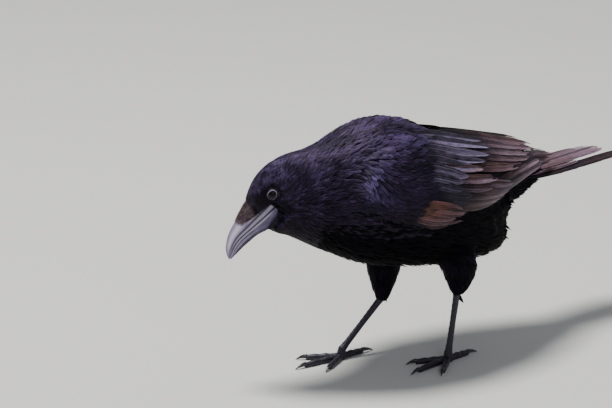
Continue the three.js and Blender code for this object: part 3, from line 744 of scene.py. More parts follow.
def coat_sizes(spots, normals, parts):
    """Length, width, gap and depth of the coat at places on the bird, in mm."""
    upper = ease(normals[:, 2], -0.35, 0.45)[:, None]
    back, belly = (np.column_stack(read_off(rows, spots[:, 0])) for rows in (BACK_COAT, BELLY_COAT))
    sizes = back * upper + belly * (1 - upper)
    arm, thigh = np.char.startswith(parts, "wing_arm"), np.char.startswith(parts, "thigh")
    sizes[arm] = np.column_stack(read_off(ARM_COAT, spots[arm, 0]))
    sizes[arm, 0] *= 1 - 0.5 * ease(spots[arm, 2], 170, 156)
    sizes[thigh] = np.column_stack(read_off(THIGH_COAT, spots[thigh, 2]))
    sizes[:, :2] += over_wing(spots, normals, parts)[:, None] * [15, 0.5]
    tail_root = ease(-spots[:, 0], 100, 135)
    sizes[:, 0] *= 1 - 0.6 * tail_root
    near = ease(eye_distance(spots), 6.5, 17)[:, None]
    return np.minimum(sizes, FACE_COAT + (sizes - FACE_COAT) * near + 20 * (near >= 1))


def runs(spots, normals, parts):
    """The way that feathers lie, along the body from the bill to the tail, as unit vectors of the frame."""
    pitch = np.radians(read_off(RUN_PITCH, spots[:, 0])[0])
    # on the head they fan out from the bill's base: up over the crown, level along the cheek
    fan = np.arctan2(spots[:, 2] - HEAD_FAN["up"], np.maximum(HEAD_FAN["forward"] - spots[:, 0], 3))
    fan = np.clip(fan, HEAD_FAN["lowest"], HEAD_FAN["highest"])
    on_head = ease(spots[:, 0], 84, 126)
    pitch = pitch * (1 - on_head) + fan * on_head
    ways = np.column_stack([-np.cos(pitch), np.zeros(len(spots)), np.sin(pitch)])
    # over the shoulders they turn down
    drop = bell(spots[:, 0], SHOULDER["forward"], SHOULDER["reach"][0]) \
        * bell(spots[:, 2], SHOULDER["up"], SHOULDER["reach"][1]) * ease(np.abs(spots[:, 1]), 18, 34)
    drop = drop[:, None]
    ways = unit(ways * (1 - drop) + np.array([-0.12, 0, -1]) * drop)
    ways = unit(ways + over_wing(spots, normals, parts)[:, None] * np.sign(spots[:, 1:2]) * [0, 0.22, 0])
    hang = (ease(spots[:, 2], 118, 92) * np.char.startswith(parts, "thigh"))[:, None]
    ways = unit(ways * (1 - hang) + np.array([-0.3, 0, -1]) * hang)
    # round the eye the small feathers part
    away = unit((on_left(spots) - LEFT_EYE) * [1, 0, 1])
    away[:, 2] = np.maximum(away[:, 2], -0.1)
    ways = unit(ways + away * (1 - ease(eye_distance(spots), 7, 13)[:, None]) * 1.1)
    # and at the bill's base they start out from it
    start = 1 - ease(np.linalg.norm(spots - BILL_ROOT, axis=-1), 14, 28)[:, None]
    ways = unit(ways + unit(spots - BILL_ROOT) * start * 0.8)
    ways = aim(spots, ways)
    return unit(ways - normals * np.sum(ways * normals, -1, keepdims=True))


def coat_of(spots, normals, parts):
    """The piece of coat that each place grows: none beside the bill, under its bristles or at the eyes."""
    forward, up = spots[:, 0], spots[:, 2]
    along, above = by_bill(spots)
    bristled = (along > 2) & (np.abs(spots[:, 1]) < 9) & (above > -12) & (above < 20)
    bare = (forward > 128) & (bristled | (off_horn(spots) < 0.6) | (eye_distance(spots) <= 5.7))
    # the underside, and the flank under the wing, with an uneven border to the upper side; these pieces take
    # the plumage darkened as painted shade
    uneven = 0.12 * np.sin(forward * 0.7 + up * 0.4)
    below = (normals[:, 2] + uneven < -0.3) | (forward < 48) & (up + uneven * 40 < 158)
    owners = np.select(
        [bare, forward > 128, (forward > 92) & below, forward > 92, (forward > -40) & below, forward > -40,
         (normals[:, 2] > 0.3) & (up > 153)],
        ["", "coat_head", "coat_throat", "coat_neck", "coat_belly", "coat_mantle", "coat_back"],
        "coat_rump").astype(object)
    for word in SIDES:
        owners[parts == f"wing_arm_{word}"] = f"coat_wing_{word}"
        owners[parts == f"thigh_{word}"] = f"coat_thigh_{word}"
    return owners


# Painted highlights, glossy patches on each shoulder: forward, up, reach forward, reach up, strength.
SHINES = [[96, 197, 10, 16, 0.9], [62, 213, 13, 8, 0.35], [34, 180, 12, 10, 0.4]]
# Painted shade in the hollows among the shoulder feathers: the same, as shares taken away.
SHADED_HOLLOWS = [[60, 197, 17, 8, 0.85], [40, 196, 8, 10, 0.8], [34, 214, 7, 3.5, 0.8], [50, 172, 24, 8, 0.5]]
LORES = bill_spots(2, 14, 9)


def shading(spots, normals, parts):
    """How far the plumage shows the painted light of its upper side, in violet-grey, and its painted
    highlights, at places on the bird.
    """
    forward, aside, up = spots[:, 0], np.abs(spots[:, 1]), spots[:, 2]
    # painted light: lighter where the plumage faces up, less on the lower flanks and at the neck
    front = ease(forward, 40, 85)
    upper = ease(normals[:, 2] + 0.34 * front, -0.45, 0.75)
    upper = upper * (1 - 0.25 * front * ease(normals[:, 2], 0.8, 0.2))
    upper = upper * (1 - 0.35 * ease(forward, 84, 96) * ease(forward, 128, 112))
    flank = ease(up, 134, 174) * ease(forward, 30, 85)
    upper = upper * np.maximum(flank, ease(normals[:, 2], 0.0, 0.5))
    # on the wing's arm the painted light grows towards its top; the thighs get a middling share
    arm = np.char.startswith(parts, "wing_arm")
    upper[arm] = 0.06 + 0.7 * ease(up[arm], 146, 212)
    upper[np.char.startswith(parts, "thigh")] = 0.6
    # the lores and a ring round the eye are black, without the painted light
    line, from_eye = LORES - LEFT_EYE, on_left(spots) - LEFT_EYE
    t = np.clip(from_eye @ line / np.dot(line, line), 0, 1)
    off = np.linalg.norm((from_eye - t[:, None] * line) * [1, 0.5, 1], axis=-1)
    upper = upper * ease(off, 5.8, 8.6)

    def patch(at_forward, at_up, reach, reach_up, strength):
        return bell(forward, at_forward, reach) * bell(up, at_up, reach_up) * strength * ease(aside, 12, 24)

    glint_and_wear = np.zeros(len(spots))
    for shine in SHINES:
        glint_and_wear = np.maximum(glint_and_wear, patch(*shine))
    # the painted shade of the hollows takes away painted light and highlight
    for hollow in SHADED_HOLLOWS:
        left_over = 1 - patch(*hollow)
        glint_and_wear, upper = glint_and_wear * left_over, upper * left_over
    # a painted highlight on the forehead's short, smooth feathers, where they face up
    forehead = ease(forward, 138, 158) * ease(normals[:, 2], -0.1, 0.5) * ease(off, 6, 11)
    return np.clip(upper, 0, 1), np.maximum(glint_and_wear, 0.6 * forehead)


# ------------------------------------------------------------------ feathers
DROOP = 0.035  # how much a feather's end bends down, at each step, where nothing carries it
CLUMP_SIZE = 5
CLUMP_LENGTH = 2.4
VANE_COLUMNS = np.array([-1, -0.55, 0, 0.55, 1])
HAIR_COLUMNS = np.array([-1, 0, 1])
UNDER_COLUMNS = np.array([1, 0, -1])


def scatter(seed, faces, name):
    """Evenly spread roots over the form where the piece `name` grows, as far apart as the coat's gap."""
    rng = np.random.default_rng(seed)
    keep = faces["owners"] == name
    area, corners, normals, spots, parts = (
        faces[key][keep] for key in ("area", "corners", "normals", "spots", "parts"))
    gap = coat_sizes(spots, normals, parts)[:, 2] * MM
    picked = np.repeat(np.arange(len(area)), rng.poisson(area / gap**2 * 7))
    rng.shuffle(picked)
    a, b = rng.random((2, len(picked), 1))
    a, b = np.where(a + b > 1, 1 - a, a), np.where(a + b > 1, 1 - b, b)
    c = corners[picked]
    points = c[:, 0] + (c[:, 1] - c[:, 0]) * a + (c[:, 2] - c[:, 0]) * b
    tree = tree_of(points)
    alive = np.ones(len(points), bool)
    kept = []
    reach = gap[picked] * 0.92
    for i in range(len(points)):
        if alive[i]:
            kept.append(i)
            for _, j, _ in tree.find_range(points[i], reach[i]):
                alive[j] = False
    return points[kept], normals[picked][kept], parts[picked][kept]


def form_faces():
    """The form's triangles: corners, areas, normals, places on the bird, parts and pieces of coat."""
    form.data.calc_loop_triangles()
    triangles = np.empty(len(form.data.loop_triangles) * 3, int)
    form.data.loop_triangles.foreach_get("vertices", triangles)
    triangles = triangles.reshape(-1, 3)
    corners = form_points[triangles]
    area = np.linalg.norm(np.cross(corners[:, 1] - corners[:, 0], corners[:, 2] - corners[:, 0]), axis=1) / 2
    centres = corners.mean(1)
    faces = {"corners": corners, "area": area, "normals": unit(form_normals[triangles].mean(1)),
             "spots": straighten(centres), "parts": part_of(centres)}
    faces["owners"] = coat_of(faces["spots"], faces["normals"], faces["parts"])
    return faces


def trace(roots, normals, ways, lengths, rows, grip, hang):
    """Each feather's line over the form, from its root, leaving the form where it turns away sharply."""
    n = len(roots)
    lines, ups = np.empty((n, rows, 3)), np.empty((n, rows, 3))
    for i in range(n):
        spot, up, way = Vector(roots[i]), Vector(normals[i]), Vector(ways[i])
        step = lengths[i] / (rows - 1)
        free = False
        for k in range(rows):
            lines[i, k], ups[i, k] = spot, up
            ahead = spot + way * step
            hit, _, _, gap = SURFACE.find_nearest(ahead)
            facing = Vector(form_normals[POINT_FINDER.find(hit)[1]])
            free = free or facing.dot(up) < grip[i] or gap > step * 0.8
            if free:
                way = way - up * DROOP
                ahead = spot + way * step * hang[i]
            else:
                ahead, up = hit, (up + facing).normalized()
            way = (way - up * way.dot(up)).normalized()
            spot = ahead
    return lines, ups


def outline(share, shape):
    """Half width of a feather along its length, as a share of its greatest."""
    rise, fall, blunt = shape

    def width(at):
        return at**rise * (1 - at**fall) ** blunt

    return width(np.clip(share, 0, 1)) / width(np.linspace(0.001, 0.999, 200)).max()


def vanes(sheets, lines, ups, left, right, rng, lay, thick, ragged, camber=0.16, shaft=0.0001,
          columns=VANE_COLUMNS, roots=None):
    """Closed, cambered feather vanes: left and right are the half widths in metres for each row.

    lay holds tone, painted upper light and painted highlight for each row, and roots the feathers' places on
    the bake map.
    """
    n = len(lines)
    roll = np.radians(rng.normal(0, 5, n))[:, None, None]
    along = unit(np.gradient(lines, axis=1))
    side = unit(np.cross(ups, along))
    over = unit(np.cross(along, side))
    side, over = side * np.cos(roll) + over * np.sin(roll), over * np.cos(roll) - side * np.sin(roll)
    run = np.linalg.norm(np.diff(lines, axis=1), axis=2).cumsum(1)
    run = np.concatenate([np.zeros((n, 1)), run], 1)[..., None] / MM
    share = run / run[:, -1:]
    jag = ragged * rng.standard_normal((n, 1, len(columns)))
    for places, sign in ((columns, 1), (UNDER_COLUMNS, -1)):
        c = places[None, None, :]
        half = np.where(c < 0, left[..., None], right[..., None])
        reach = half * c
        dome = (1 - c**2) * half * camber
        body = thick * (1 - c**2) * (1 - share**3) * 0.5
        ridge = shaft * (np.abs(c) < 0.02) * (1 - share)
        rise = dome + sign * (body + ridge)
        slip = (jag if sign > 0 else jag[..., [-1, len(columns) // 2, 0]]) * share**9
        grid = lines[:, :, None] + side[:, :, None] * reach[..., None] + over[:, :, None] * rise[..., None] \
            + along[:, :, None] * slip[..., None]
        edge = np.maximum(np.abs(np.broadcast_to(c, reach.shape)), share**6)
        tone, upper, glint_and_wear = (np.broadcast_to(value[..., None], edge.shape) for value in lay)
        patch = None
        if roots is not None:
            local = np.stack(np.broadcast_arrays(c, share * 2 - 1), -1)
            patch = roots[:, None, None] + local * TUFT_PATCH
        vane = np.stack(np.broadcast_arrays(reach / MM, run), -1)
        sheets.add(grid, vane, patch, np.stack([tone, upper, edge, glint_and_wear], -1))


# ------------------------------------------------------------------ coat
SCALE_SHAPE = (0.35, 3.4, 0.5)
LANCE_SHAPE = (0.45, 1.7, 0.9)

# Pieces of the coat: seed, rows of points, shape, kind, lift, spread of the lie in degrees, raggedness,
# the unwrap's span forward, and columns of points.
COAT = {
    "coat_head": (11, 6, LANCE_SHAPE, "plumage_head", 0.3, 8, 0.0, (126, 185), HAIR_COLUMNS),
    "coat_neck": (12, 8, LANCE_SHAPE, "plumage_head", 0.5, 6, 0.0, (90, 130), HAIR_COLUMNS),
    "coat_throat": (17, 8, LANCE_SHAPE, "plumage_under_shaded", 0.5, 8, 0.0, (90, 130), HAIR_COLUMNS),
    "coat_mantle": (13, 10, SCALE_SHAPE, "plumage", 0.6, 6, 0.5, (-145, 95), VANE_COLUMNS),
    "coat_belly": (14, 9, LANCE_SHAPE, "plumage_under_shaded", 0.8, 9, 0.6, (-145, 95), VANE_COLUMNS),
    "coat_back": (19, 9, SCALE_SHAPE, "plumage", 0.5, 6, 0.5, (-150, -35), VANE_COLUMNS),
    "coat_rump": (18, 9, LANCE_SHAPE, "plumage_under_shaded", 0.8, 10, 1.2, (-150, -35), VANE_COLUMNS),
    "coat_wing_left": (16, 10, LANCE_SHAPE, "plumage", 0.15, 4, 0.3, (-10, 110), HAIR_COLUMNS),
    "coat_thigh_left": (26, 8, LANCE_SHAPE, "plumage_under_shaded", 0.5, 9, 0.4, (-45, 45), VANE_COLUMNS),
    "coat_wing_right": (14, 10, LANCE_SHAPE, "plumage", 0.15, 4, 0.3, (-10, 110), HAIR_COLUMNS),
    "coat_thigh_right": (24, 8, LANCE_SHAPE, "plumage_under_shaded", 0.5, 9, 0.4, (-45, 45), VANE_COLUMNS),
}


def unwrap(spots, low, high):
    """A place on an unwrap of the skin: along the body, and round it."""
    along = (spots[:, 0] - low) / (high - low)
    middle = np.interp(spots[:, 0], [-140, 0, 100, 150, 182], [145, 145, 165, 172, 162])
    round_it = np.arctan2(spots[:, 1], spots[:, 2] - middle) / (2 * math.pi) + 0.5
    return 0.01 + 0.98 * np.clip(np.column_stack([along, round_it]), 0, 1)


def clumped(spots, rng):
    """Paleness of each feather, alike in small clumps drawn out along the body."""
    n = len(spots)
    stretched = spots / [CLUMP_LENGTH, 1, 1]
    picks = rng.choice(n, n // CLUMP_SIZE, replace=False)
    tree = tree_of(stretched[picks])
    owner = np.array([tree.find(spot)[1] for spot in stretched])
    tone = 0.4 * rng.random(n) + 0.6 * rng.random(len(picks))[owner]
    return np.clip(0.5 + (tone - 0.5) * 1.3, 0, 1)


def coat_piece(name, faces, materials):
    """One piece of the coat: overlapping feathers on its part of the form."""
    seed, rows, shape, kind, lift, yaw, ragged, span, columns = COAT[name]
    rng = np.random.default_rng(seed)
    roots, normals, parts = scatter(seed, faces, name)
    spots = straighten(roots)
    sizes = coat_sizes(spots, normals, parts)
    n = len(roots)
    ways = runs(spots, normals, parts)
    turn = np.radians(rng.normal(0, yaw, n))[:, None]
    ways = ways * np.cos(turn) + np.cross(normals, ways) * np.sin(turn)
    lengths = sizes[:, 0] * rng.uniform(0.86, 1.14, n) * MM
    # some feathers leave the belly behind the legs, and hang only a short way
    body = ~on_limb(parts)
    loose = ease(spots[:, 0], -15, -35) * ease(spots[:, 2], 118, 100) * body
    grip = 0.7 + 0.18 * loose * (rng.random(n) < 0.3)
    hang = 1 - 0.65 * ease(spots[:, 0], 0, -20) * body
    lines, ups = trace(roots, normals, ways, lengths, rows, grip, hang)
    share = np.linspace(0, 1, rows)[None]
    depth = sizes[:, 3:4] * MM
    raised = lift * np.clip(depth / (4 * MM), 0.25, 1) * MM * rng.uniform(0.4, 1.6, (n, 1))
    lines = lines + ups * (-depth + (depth + raised) * share**0.85)[..., None]
    half = sizes[:, 1:2] * MM / 2 * rng.uniform(0.85, 1.15, (n, 1)) * outline(share, shape)
    left = half * (1 + rng.normal(0, 0.07, half.shape))
    right = half * (1 + rng.normal(0, 0.07, half.shape))
    # the painted light of the upper side and the painted highlight, for each feather
    upper, glint_and_wear = shading(spots, normals, parts)
    tone = clumped(spots, rng)
    lay = [value[:, None] for value in (tone, upper, glint_and_wear * tone)]
    sheets = Sheets()
    vanes(sheets, lines, ups, left, right, rng, lay, min(0.00022, sizes[:, 1].mean() * 2e-5), ragged * MM,
          columns=columns, roots=unwrap(spots, *span))
    sheets.build(name, materials[kind], "plumage", unwrapped=True)


# ------------------------------------------------------------------ wings and tail
FLIGHT_ROWS = 26

# Every wing feather, from the wing's upper edge down: root forward, root across, tip forward, tip across,
# half width, height over the wing, and paleness. Across is 0 at the upper edge and 1 at the lower edge.
# Rows of paleness 0 are lower layers, painted dark as the shade beneath the others. Each row comes out of
# painted shade under the next row over the shares in 'shown', and 'gleam' is a painted highlight on its ends.
WING_ROWS = {
    "greater_coverts": {
        "shape": (0.3, 2.8, 0.6), "bow": 1.2, "sunk": 4, "rise": 0.5, "shown": (0.2, 0.5), "gleam": 0.5,
        "kind": "covert_vane", "feathers": [
            [58, -0.04, -50, 0.12, 5.2, 1.6, 0.5], [60, 0.00, -56, 0.19, 5.0, 1.3, 0.95],
            [58, 0.06, -49, 0.26, 4.8, 0.9, 0.8], [56, 0.12, -37, 0.31, 4.8, 0.5, 0.6],
            [54, 0.19, -22, 0.35, 5.2, 1.0, 0.8], [54, 0.27, -8, 0.41, 5.2, 0.6, 0.5],
            [52, 0.35, 1, 0.47, 4.6, 0.8, 0.5], [50, 0.43, 4, 0.54, 4.4, 0.4, 0.2],
            [50, 0.51, -6, 0.62, 4.4, 0.3, 0.12], [50, 0.58, -2, 0.70, 4.4, 0.2, 0.1],
        ]},
    "tertials": {
        "shape": (0.3, 6, 0.55), "bow": 1.6, "sunk": 2, "rise": 0.3, "shown": (0.3, 0.75), "gleam": 0.35,
        "kind": "flight_vane", "feathers": [
            [20, 0.00, -123, 0.13, 6.0, 0.5, 0.55], [20, 0.06, -120, 0.22, 5.8, 0.0, 0.75],
            [18, 0.12, -115, 0.31, 5.6, -0.6, 0.9], [16, 0.19, -107, 0.38, 4.8, -1.3, 0.65],
            [14, 0.25, -94, 0.41, 4.0, -2.2, 0.5], [16, 0.31, -84, 0.46, 4.0, -2.0, 0.7],
            [20, 0.15, -110, 0.23, 6.5, -4.6, 0.0], [20, 0.24, -106, 0.32, 7.5, -5.2, 0.0],
            [20, 0.40, -104, 0.44, 7, -6.2, 0.0],
        ]},
    "secondaries": {
        "shape": (0.3, 8, 0.5), "bow": 1.4, "sunk": 3.5, "rise": 0.35, "shown": (0.2, 0.75), "gleam": 0.8,
        "kind": "flight_vane", "feathers": [
            [46, 0.28, -29, 0.38, 3.4, 0.7, 1.0], [48, 0.37, -42, 0.51, 4.0, 0.6, 0.85],
            [48, 0.45, -38, 0.60, 4.4, 0.1, 0.3], [30, 0.38, -66, 0.69, 3.8, -0.3, 0.85],
            [30, 0.46, -65, 0.76, 3.8, -0.9, 0.55], [34, 0.55, -63, 0.83, 3.8, -1.5, 0.7],
            [38, 0.63, -58, 0.90, 3.8, -2.1, 0.5], [42, 0.72, -50, 0.96, 3.8, -2.7, 0.35],
            [24, 0.54, -96, 0.58, 6.5, -7.0, 0.0], [24, 0.68, -84, 0.72, 6, -7.0, 0.0],
            [20, 0.83, -66, 0.88, 6, -7.0, 0.0],
        ]},
    "primaries": {
        "shape": (0.2, 14, 0.45), "bow": 1.1, "sunk": 0, "rise": 0.3, "shown": (0.2, 0.6), "gleam": 1.0,
        "kind": "flight_vane", "feathers": [
            [-24, 0.46, -155, 0.22, 4.6, -4.0, 0.4], [-24, 0.52, -150, 0.50, 4.4, -4.2, 0.35],
            [-30, 0.57, -121, 0.47, 3.2, -2.5, 0.9], [-30, 0.64, -129, 0.64, 3.2, -3.0, 1.0],
            [-30, 0.71, -128, 0.83, 2.8, -3.6, 0.75], [-30, 0.79, -113, 0.96, 2.4, -4.1, 0.45],
            [-30, 0.87, -96, 1.0, 2.4, -4.6, 0.25], [-24, 0.68, -140, 0.72, 6.0, -6.8, 0.0],
        ]},
    "primary_coverts": {
        "shape": (0.3, 3.2, 0.6), "bow": 1.1, "sunk": 6, "rise": 0.62, "shown": (0.2, 0.45), "gleam": 0.2,
        "kind": "worn_vane", "feathers": [
            [66, 0.675, 3, 0.80, 6.4, 2.2, 1.0], [74, 0.755, 10, 0.86, 5.6, 1.7, 0.8],
            [74, 0.82, 17, 0.905, 4.8, 1.4, 0.5], [64, 0.88, 1, 0.935, 2.8, 1.3, 0.55],
            [60, 0.925, 18, 0.965, 3.6, 1.0, 0.3],
        ]},
}
# How far the topmost vanes pass the wing's upper edge. The right wing lies a little lower under the back.
TOP_SPARE = {"left": 1.8, "right": -3.5}
TOP_LIMIT = {"left": -0.04, "right": 0.08}
WEB_STRIPS = [(-0.74, 0.34), (-0.28, 0.36), (0.28, 0.36), (0.74, 0.34)]  # middle and half width, as shares
SHAFT = (0.0, 0.0)
# Paleness across a wing feather, from the covered web to the outer web: the next feather shades it.
WEB_TONES = [[-0.74, -0.28, 0, 0.28, 0.74], [0.08, 0.15, 0.3, 0.7, 1.25]]
FRONT_WARMTH = {"covert_vane": 0.0, "flight_vane": 0.0, "worn_vane": 0.85}
FRAY = {"covert_vane": 0.02, "flight_vane": 0.05, "worn_vane": 0.05}


def wing_surface(forward, across, out):
    """Places on the left wing's outer surface, and the way out of it."""
    forward, s, out = np.broadcast_arrays(np.asarray(forward, float), across, out)
    share = section_share(-WING_SECTIONS[:, 0], -forward)
    _, ul, uu, ml, mu, ll, lu = np.moveaxis(smooth_rows(WING_SECTIONS, share), -1, 0)
    w0, w1, w2 = (1 - s) * (1 - 2 * s), 4 * s * (1 - s), s * (2 * s - 1)
    left, up = ul * w0 + ml * w1 + ll * w2, uu * w0 + mu * w1 + lu * w2
    d_left = ul * (4 * s - 3) + ml * (4 - 8 * s) + ll * (4 * s - 1)
    d_up = uu * (4 * s - 3) + mu * (4 - 8 * s) + lu * (4 * s - 1)
    length = np.hypot(d_left, d_up)
    out_left, out_up = -d_up / length, d_left / length
    spots = np.stack([forward, left + out * out_left, up + out * out_up], -1)
    return spots, np.stack([np.zeros_like(left), out_left, out_up], -1)


def notches(rng, n, rows, often, depth):
    """Splits in a vane's edge: rows where the half width is cut back."""
    cut = np.ones((n, rows))
    for i in range(n):
        for _ in range(rng.poisson(often)):
            at = rng.integers(int(rows * 0.45), rows)
            cut[i, at] *= 1 - depth * rng.random()
    return cut


def resample(values, at):
    """Rows of values read again at other shares of the length."""
    last = values.shape[1] - 1
    k = np.clip((at * last).astype(int), 0, last - 1)
    t = (at * last - k)[..., None]
    pick = np.arange(len(values))[:, None]
    return values[pick, k] * (1 - t) + values[pick, k + 1] * t


def worn_vanes(sheets, lines, ups, left, right, tones, rng, fray, lit, shown, gleam, warm=0.0):
    """Feathers whose webs have split into bundles of barbs, each a thin strip with its own end.

    lit is -1 or 1 for the web that catches the light, or 0 for both. Feathers are darkened as painted shade
    up to the shares of their length in `shown`, under the next row. gleam is a painted highlight on their
    ends, and warm the worn feathers' own warm brown on their front parts.
    """
    n, rows = lines.shape[:2]
    s = np.linspace(0, 1, rows)
    side = unit(np.cross(ups, unit(np.gradient(lines, axis=1))))
    for middle, half in WEB_STRIPS + [SHAFT]:
        shaft = half == 0
        web = np.where(middle < 0, left, right)
        end = 1.0 if shaft else 1 - fray * np.abs(rng.normal(0, 1, (n, 1))) - 0.012 * abs(middle)
        at = np.clip(s[None] * end, 0, 1)
        strip, over, wide, across = (resample(values, at) for values in (lines, ups, web[..., None], side))
        wide = wide[..., 0]
        drift = middle * wide * (1 + rng.normal(0, 0.05, (n, 1)))
        wave = rng.normal(0, 0.12, (n, 1)) * MM
        wave = wave * np.sin(s[None] * rng.uniform(3, 8, (n, 1)) + rng.uniform(0, 6, (n, 1)))
        strip = strip + across * (drift + wave)[..., None] + over * (rng.uniform(-0.12, 0.2, (n, 1, 1)) * MM)
        if shaft:
            strip = strip + over * 0.22 * MM
            reach = np.broadcast_to(0.34 * MM * (1 - 0.75 * s), (n, rows))
        else:
            reach = wide * half * (1 + rng.normal(0, 0.05, (n, rows))) * notches(rng, n, rows, 0.7, 0.5)
            reach = reach * (1 - 0.55 * s**10)
        catch = np.interp(lit * middle, *WEB_TONES) if lit else 1.0
        uneven = 0.1 if shaft else rng.normal(0, 0.22 + 0.1 * (warm > 0), n)
        tone = np.clip(tones * catch + uneven, 0, 1)
        # painted shade where the next row covers the feather
        out_of_painted_shade = 0.12 + 0.88 * ease(at, *shown)
        # painted highlight on the ends, and on worn vanes their own warm brown at the front
        glint_and_wear = np.maximum((tones**2)[:, None] * (1 - ease(at, 0.35, 0.85)) * warm,
                           (tones * tone)[:, None] * ease(at, 0.5, 0.9) * gleam)
        # feathers of paleness 0 are lower layers, kept dark as painted shade
        lay = (tone[:, None] * out_of_painted_shade, np.clip(tones * 3, 0, 1)[:, None] * out_of_painted_shade, glint_and_wear * out_of_painted_shade)
        vanes(sheets, strip, over, reach, reach, rng, lay, 0.3 * MM, 0.5 * MM, camber=0.05, shaft=0.0)


def wing_row(word, name, materials, seed):
    """One row of a folded wing's feathers, from the wing's surface."""
    side, row = SIDES[word], WING_ROWS[name]
    kind = row["kind"]
    rng = np.random.default_rng(seed)
    chart = np.array(row["feathers"], float)
    n = len(chart)
    s = np.linspace(0, 1, FLIGHT_ROWS)[None]
    root, across_root, tip, across_tip, width, height, tones = (chart[:, c:c + 1] for c in range(7))
    forward = root + (tip - root + rng.normal(0, 1.0, (n, 1))) * s
    across = across_root + (across_tip - across_root) * s ** row["bow"] + rng.normal(0, 0.006, (n, 1)) * s
    across = np.clip(across, TOP_LIMIT[word], 1)
    out = height + 0.5 * s + rng.normal(0, 0.12, (n, 1)) * s - row["sunk"] * (1 - ease(s, 0, row["rise"]))
    spots, away = wing_surface(forward, across, out)
    mirror = np.array([1, side, 1])
    lines = place(spots * mirror)
    ups = aim(spots * mirror, away * mirror)
    half = width * MM * outline(s, row["shape"])
    # the webs stop at the wing's own edges
    top, bottom = (
        np.linalg.norm(wing_surface(forward, edge, out)[0] - spots, axis=-1) * MM for edge in (0.0, 1.0))
    high_web = np.clip(top + TOP_SPARE[word] * MM, 0.3 * MM, half)
    low_web = np.clip(bottom + 1.2 * MM, 0.3 * MM, half)
    webs = (low_web, high_web) if side > 0 else (high_web, low_web)
    sheets = Sheets()
    worn_vanes(sheets, lines, ups, *webs, tones[:, 0], rng, FRAY[kind], -side, row["shown"], row["gleam"],
               FRONT_WARMTH[kind])
    slot = "worn_coverts" if kind == "worn_vane" else "flight_feathers"
    sheets.build(f"{name}_{word}_vanes", materials[kind], slot, f"{name}_{word}")


TAIL = {
    "root": -88, "half": 25.5, "root_half": 18, "root_up": 149, "low_up": 146, "low": -125, "tip_up": 150,
    "tip": -235, "arch": 2.2, "sunk": 1.2, "rows": 34, "shape": (0.10, 18, 0.4), "overlap": 1.25,
}
# Tail feathers from the bird's right: left and right edges at the tip, the tip's distance forward, paleness,
# and how high each lies over the next.
RECTRICES = np.array([
    [-25, -16, -206, 0.6, -0.6], [-18, -9, -216, 0.9, 0.0], [-11, -1.5, -221, 0.7, 0.6],
    [-4, 6.5, -219, 1.0, 0.9], [3, 14, -181, 0.6, 0.3], [10.5, 21.5, -235, 0.16, -0.3],
])


def make_tail(material):
    rng = np.random.default_rng(40)
    s = np.linspace(0, 1, TAIL["rows"])[None]
    low_edge, high_edge, tip, tones, order = (RECTRICES[:, c:c + 1] for c in range(5))
    forward = TAIL["root"] + (tip - TAIL["root"]) * s
    spread = np.minimum((TAIL["root"] - forward) / 60, 1)
    narrowed = (TAIL["root_half"] + (TAIL["half"] - TAIL["root_half"]) * spread) / TAIL["half"]
    left = (low_edge + high_edge) / 2 * narrowed
    level = np.interp(-forward, [-TAIL["root"], -TAIL["low"], -TAIL["tip"]],
                      [TAIL["root_up"], TAIL["low_up"], TAIL["tip_up"]])
    level = level - TAIL["arch"] * (left / TAIL["half"]) ** 2
    lines = place(np.stack([forward, left, level - TAIL["sunk"] + order], -1))
    ups = np.broadcast_to([0.0, 0.0, 1.0], lines.shape)
    half = (high_edge - low_edge) / 2 * MM * TAIL["overlap"] * narrowed * outline(s, TAIL["shape"])
    sheets = Sheets()
    # painted shade near the roots, under the coverts, and a painted highlight on the ends
    worn_vanes(sheets, lines, ups, half, half, tones[:, 0], rng, 0.012, 0, (0.1, 0.5), 0.25)
    sheets.build("tail_vanes", material, "flight_feathers", "tail")


# ------------------------------------------------------------------ bill
BILL_RINGS = 90
BILL_POINTS = 40
MOUTH_POINTS = 5
BILL_TURN = np.linspace(-math.pi / 2, math.pi / 2, BILL_POINTS)[None]


def bill_levels(along):
    share = section_share(BILL_SECTIONS[:, 0], along)
    return np.moveaxis(smooth_rows(BILL_SECTIONS, share), -1, 0)


def bill_half(name, material, along, base, rise, half, powers, edge, inside, shine, shade):
    """One half of the bill, from its outer side's points and a flat inside, closed at its ends.

    base and rise are the level that each ring starts from and its height, powers how full the ring is
    upwards and sideways, and edge how far the side steps out. shine and shade are the painted highlight and
    painted shade on the horn, and the inside of the mouth is painted dark.
    """
    height = base + rise * np.abs(np.cos(BILL_TURN)) ** powers[0]
    side = np.sign(np.sin(BILL_TURN))
    wide = half * np.abs(np.sin(BILL_TURN)) ** powers[1] * side + edge * side
    outer = bill_spots(along, height, wide)
    mouth = bill_spots(along, inside, half * np.linspace(0.8, -0.8, MOUTH_POINTS)[None])
    # painted shade: the inside of the mouth stays dark
    dark = np.broadcast_to([0.0, 1.0, 0.0, 0.0], (len(shine), MOUTH_POINTS, 4))
    lay = np.concatenate([np.stack([shine, shade, shade * 0, shade * 0], -1), dark], 1)
    sheets = Sheets()
    sheets.add(place(np.concatenate([outer, mouth], 1))[None], lay=lay[None], wrap=True)
    sheets.build(f"{name}_horn", material, "bill", name, closed=True)


